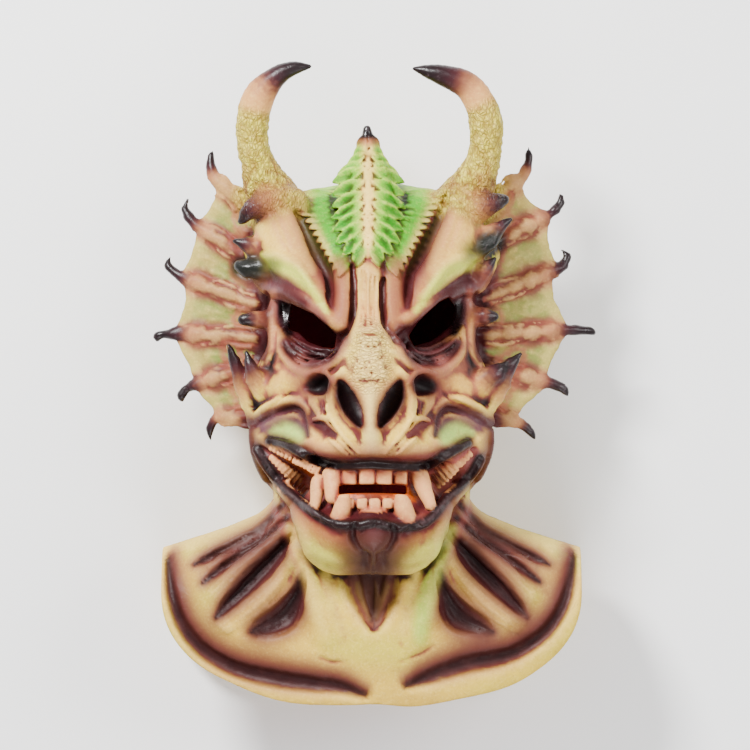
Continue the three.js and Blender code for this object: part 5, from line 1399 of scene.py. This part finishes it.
class Nodes:
    """A small helper that adds shader nodes and links them."""

    def __init__(self, material):
        material.use_nodes = True
        self.tree = material.node_tree
        self.tree.nodes.clear()

    def add(self, kind, inputs=None, **settings):
        node = self.tree.nodes.new(kind)
        for name, value in settings.items():
            setattr(node, name, value)
        for name, value in (inputs or {}).items():
            socket = node.inputs[name]
            if isinstance(value, bpy.types.NodeSocket):
                self.tree.links.new(value, socket)
            else:
                socket.default_value = value
        return node

    def attribute(self, name):
        return self.add("ShaderNodeAttribute", attribute_name=name)

    def noise(self, place, scale, detail=3.0, rough=0.5, distortion=0.0):
        node = self.add("ShaderNodeTexNoise", {
            "Vector": place, "Scale": scale, "Detail": detail, "Roughness": rough,
            "Distortion": distortion,
        })
        return node.outputs["Fac"]

    def spread(self, value, low, high, to_low, to_high):
        node = self.add("ShaderNodeMapRange", {
            "Value": value, "From Min": low, "From Max": high, "To Min": to_low, "To Max": to_high,
        })
        return node.outputs["Result"]

    def times(self, a, b):
        return self.add("ShaderNodeMath", {0: a, 1: b}, operation="MULTIPLY").outputs[0]

    def mix(self, factor, a, b):
        node = self.add("ShaderNodeMix", {0: factor}, data_type="RGBA")
        for index, value in ((6, a), (7, b)):
            if isinstance(value, bpy.types.NodeSocket):
                self.tree.links.new(value, node.inputs[index])
            else:
                node.inputs[index].default_value = (*linear(value), 1)
        return node.outputs[2]

    def bump(self, height, distance, strength, normal=None):
        inputs = {"Height": height, "Distance": distance, "Strength": strength}
        if normal is not None:
            inputs["Normal"] = normal
        return self.add("ShaderNodeBump", inputs).outputs["Normal"]

    def surface(self, inputs):
        shader = self.add("ShaderNodeBsdfPrincipled", inputs)
        self.add("ShaderNodeOutputMaterial", {"Surface": shader.outputs["BSDF"]})


def latex_material():
    """Painted foam latex: mottled paint, fine pores and creases, glossier where the paint is wet."""
    material = bpy.data.materials.new("painted_latex")
    n = Nodes(material)
    place = n.add("ShaderNodeTexCoord").outputs["Object"]
    paint = n.attribute("paint").outputs["Color"]
    wet = n.attribute("wet").outputs["Fac"]
    pale = n.spread(n.add("ShaderNodeRGBToBW", {"Color": paint}).outputs["Val"], 0.05, 0.4, 0.0, 1.0)

    cloud = n.noise(place, 48.0, 5.0, 0.6, 0.4)
    cloudy = n.times(n.spread(cloud, 0.38, 0.7, 0.0, 0.22), pale)
    colour = n.mix(cloudy, paint, (0.60, 0.44, 0.22))
    fleck = n.noise(place, 420.0, 3.0, 0.6)
    flecked = n.times(n.spread(fleck, 0.48, 0.7, 0.0, 0.2), pale)
    colour = n.mix(flecked, colour, (0.98, 0.86, 0.50))
    dirt = n.noise(place, 230.0, 4.0, 0.7, 0.6)
    dirty = n.times(n.spread(dirt, 0.55, 0.75, 0.0, 0.35), pale)
    colour = n.mix(dirty, colour, (0.45, 0.25, 0.16))
    # Grey-mauve streaks where the dark paint is wet: a painted sheen.
    sheen_noise = n.noise(place, 170.0, 4.0, 0.7, 1.2)
    dark = n.spread(pale, 0.0, 1.0, 1.0, 0.0)
    grey = n.times(n.spread(sheen_noise, 0.58, 0.72, 0.0, 0.22), n.times(wet, dark))
    colour = n.mix(grey, colour, (0.60, 0.50, 0.53))

    creases = n.noise(place, 130.0, 6.0, 0.62, 0.8)
    pores = n.noise(place, 900.0, 2.0, 0.5)
    normal = n.bump(creases, 0.0009, 0.5)
    normal = n.bump(pores, 0.00018, 0.6, normal)
    # Grain too fine for the mesh: long granules on the horns, a net of wrinkles on the nose.
    wobble = n.add("ShaderNodeTexNoise", {"Vector": place, "Scale": 90.0}).outputs["Color"]
    bent = n.add(
        "ShaderNodeVectorMath", {0: wobble, 1: (0.006, 0.006, 0.006), 2: place}, operation="MULTIPLY_ADD"
    ).outputs[0]
    for name, stretch, scale, crevice in (
        ("pebble", (1.0, 0.55, 1.0), 330.0, (0.40, 0.25, 0.08)),
        ("net", (0.55, 1.3, 1.0), 270.0, (0.44, 0.24, 0.15)),
    ):
        on = n.attribute(name).outputs["Fac"]
        spot = n.add("ShaderNodeMapping", {"Vector": bent, "Scale": stretch}).outputs["Vector"]
        sizes = {"Vector": spot, "Scale": scale}
        edge = n.add("ShaderNodeTexVoronoi", sizes, feature="DISTANCE_TO_EDGE").outputs["Distance"]
        colour = n.mix(n.times(n.spread(edge, 0.02, 0.2, 0.42, 0.0), on), colour, crevice)
        normal = n.bump(n.times(n.spread(edge, 0.0, 0.35, 0.0, 1.0), on), 0.0014, 0.9, normal)

    gloss = n.spread(wet, 0.0, 1.0, 0.5, 0.22)
    uneven = n.spread(cloud, 0.3, 0.7, -0.05, 0.07)
    rough = n.add("ShaderNodeMath", {0: gloss, 1: uneven}, operation="ADD")
    n.surface({
        "Base Color": colour, "Roughness": rough.outputs[0], "Normal": normal,
        "Specular IOR Level": n.spread(wet, 0.35, 1.0, 0.14, 0.5),
    })
    return material


def vertex_array(mesh, name):
    values = np.empty(3 * len(mesh.vertices), np.float32)
    mesh.vertices.foreach_get(name, values)
    return values.reshape(-1, 3)


def make_mask():
    clay, teeth, solid = sculpt()
    mesh = skin_mesh(clay)
    mesh.polygons.foreach_set("use_smooth", np.ones(len(mesh.polygons), bool))
    points, normals = vertex_array(mesh, "co"), vertex_array(mesh, "normal")
    paint = paint_mask(clay, teeth, solid, points, normals)
    colour = mesh.color_attributes.new("paint", "FLOAT_COLOR", "POINT")
    rgba = np.column_stack([linear(paint.colour), np.ones(len(points))]).astype(np.float32)
    colour.data.foreach_set("color", rgba.ravel())
    for name, values in (("wet", paint.wet), ("pebble", paint.pebble), ("net", paint.net)):
        layer = mesh.attributes.new(name, "FLOAT", "POINT")
        layer.data.foreach_set("value", values.astype(np.float32))
    placed = (points + np.array([*SHIFT, 0])) * MM
    mesh.vertices.foreach_set("co", placed.astype(np.float32).ravel())
    mesh.update()
    mesh.materials.append(latex_material())
    mask = bpy.data.objects.new("dragon_mask_skin", mesh)
    bpy.context.scene.collection.objects.link(mask)
    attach(mask, "root")
    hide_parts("mask")


def make_floor():
    mesh = bpy.data.meshes.new("floor")
    half = 3.0
    corners = [(-half, -half, 0), (half, -half, 0), (half, half, 0), (-half, half, 0)]
    mesh.from_pydata(corners, [], [(0, 1, 2, 3)])
    material = bpy.data.materials.new("studio_floor")
    n = Nodes(material)
    place = n.add("ShaderNodeTexCoord").outputs["Object"]
    cloudy = n.spread(n.noise(place, 3.0), 0.3, 0.7, 0.0, 1.0)
    n.surface({"Base Color": n.mix(cloudy, (0.94, 0.94, 0.94), (0.96, 0.96, 0.955)), "Roughness": 0.9})
    mesh.materials.append(material)
    floor = bpy.data.objects.new("floor", mesh)
    bpy.context.scene.collection.objects.link(floor)


def make_light(name, at, size, power):
    """A round soft light that points at the mask."""
    data = bpy.data.lights.new(name, "AREA")
    data.shape = "DISK"
    data.size = size
    data.energy = power
    light = bpy.data.objects.new(name, data)
    light.location = at
    way = light.location - type(light.location)((0, 0, 0.1))
    light.rotation_euler = way.to_track_quat("Z", "Y").to_euler()
    bpy.context.scene.collection.objects.link(light)


def make_studio():
    world = bpy.data.worlds.new("studio")
    world.use_nodes = True
    world.node_tree.nodes["Background"].inputs["Color"].default_value = (1, 1, 1, 1)
    world.node_tree.nodes["Background"].inputs["Strength"].default_value = 0.74
    bpy.context.scene.world = world
    make_light("key", (-1.0, 1.3, 1.7), 0.6, 138)
    make_light("fill", (1.4, 0.4, 1.6), 1.2, 36)
    make_light("low", (0.2, -1.6, 1.3), 1.0, 22)


def make_camera():
    """Straight down on the mask, with one pixel of the picture as wide as PIXEL at the face."""
    data = bpy.data.cameras.new("camera")
    distance, face_height, width = 6.0, 0.15, PICTURE * PIXEL * MM
    data.sensor_width = 36.0
    data.lens = data.sensor_width * (distance - face_height) / width
    data.clip_end = 50.0
    camera = bpy.data.objects.new("camera", data)
    # Above the middle of the picture.
    camera.location = (-0.00045, 0.01075, distance)
    bpy.context.scene.collection.objects.link(camera)
    bpy.context.scene.camera = camera


make_camera()
make_floor()
make_studio()
make_mask()
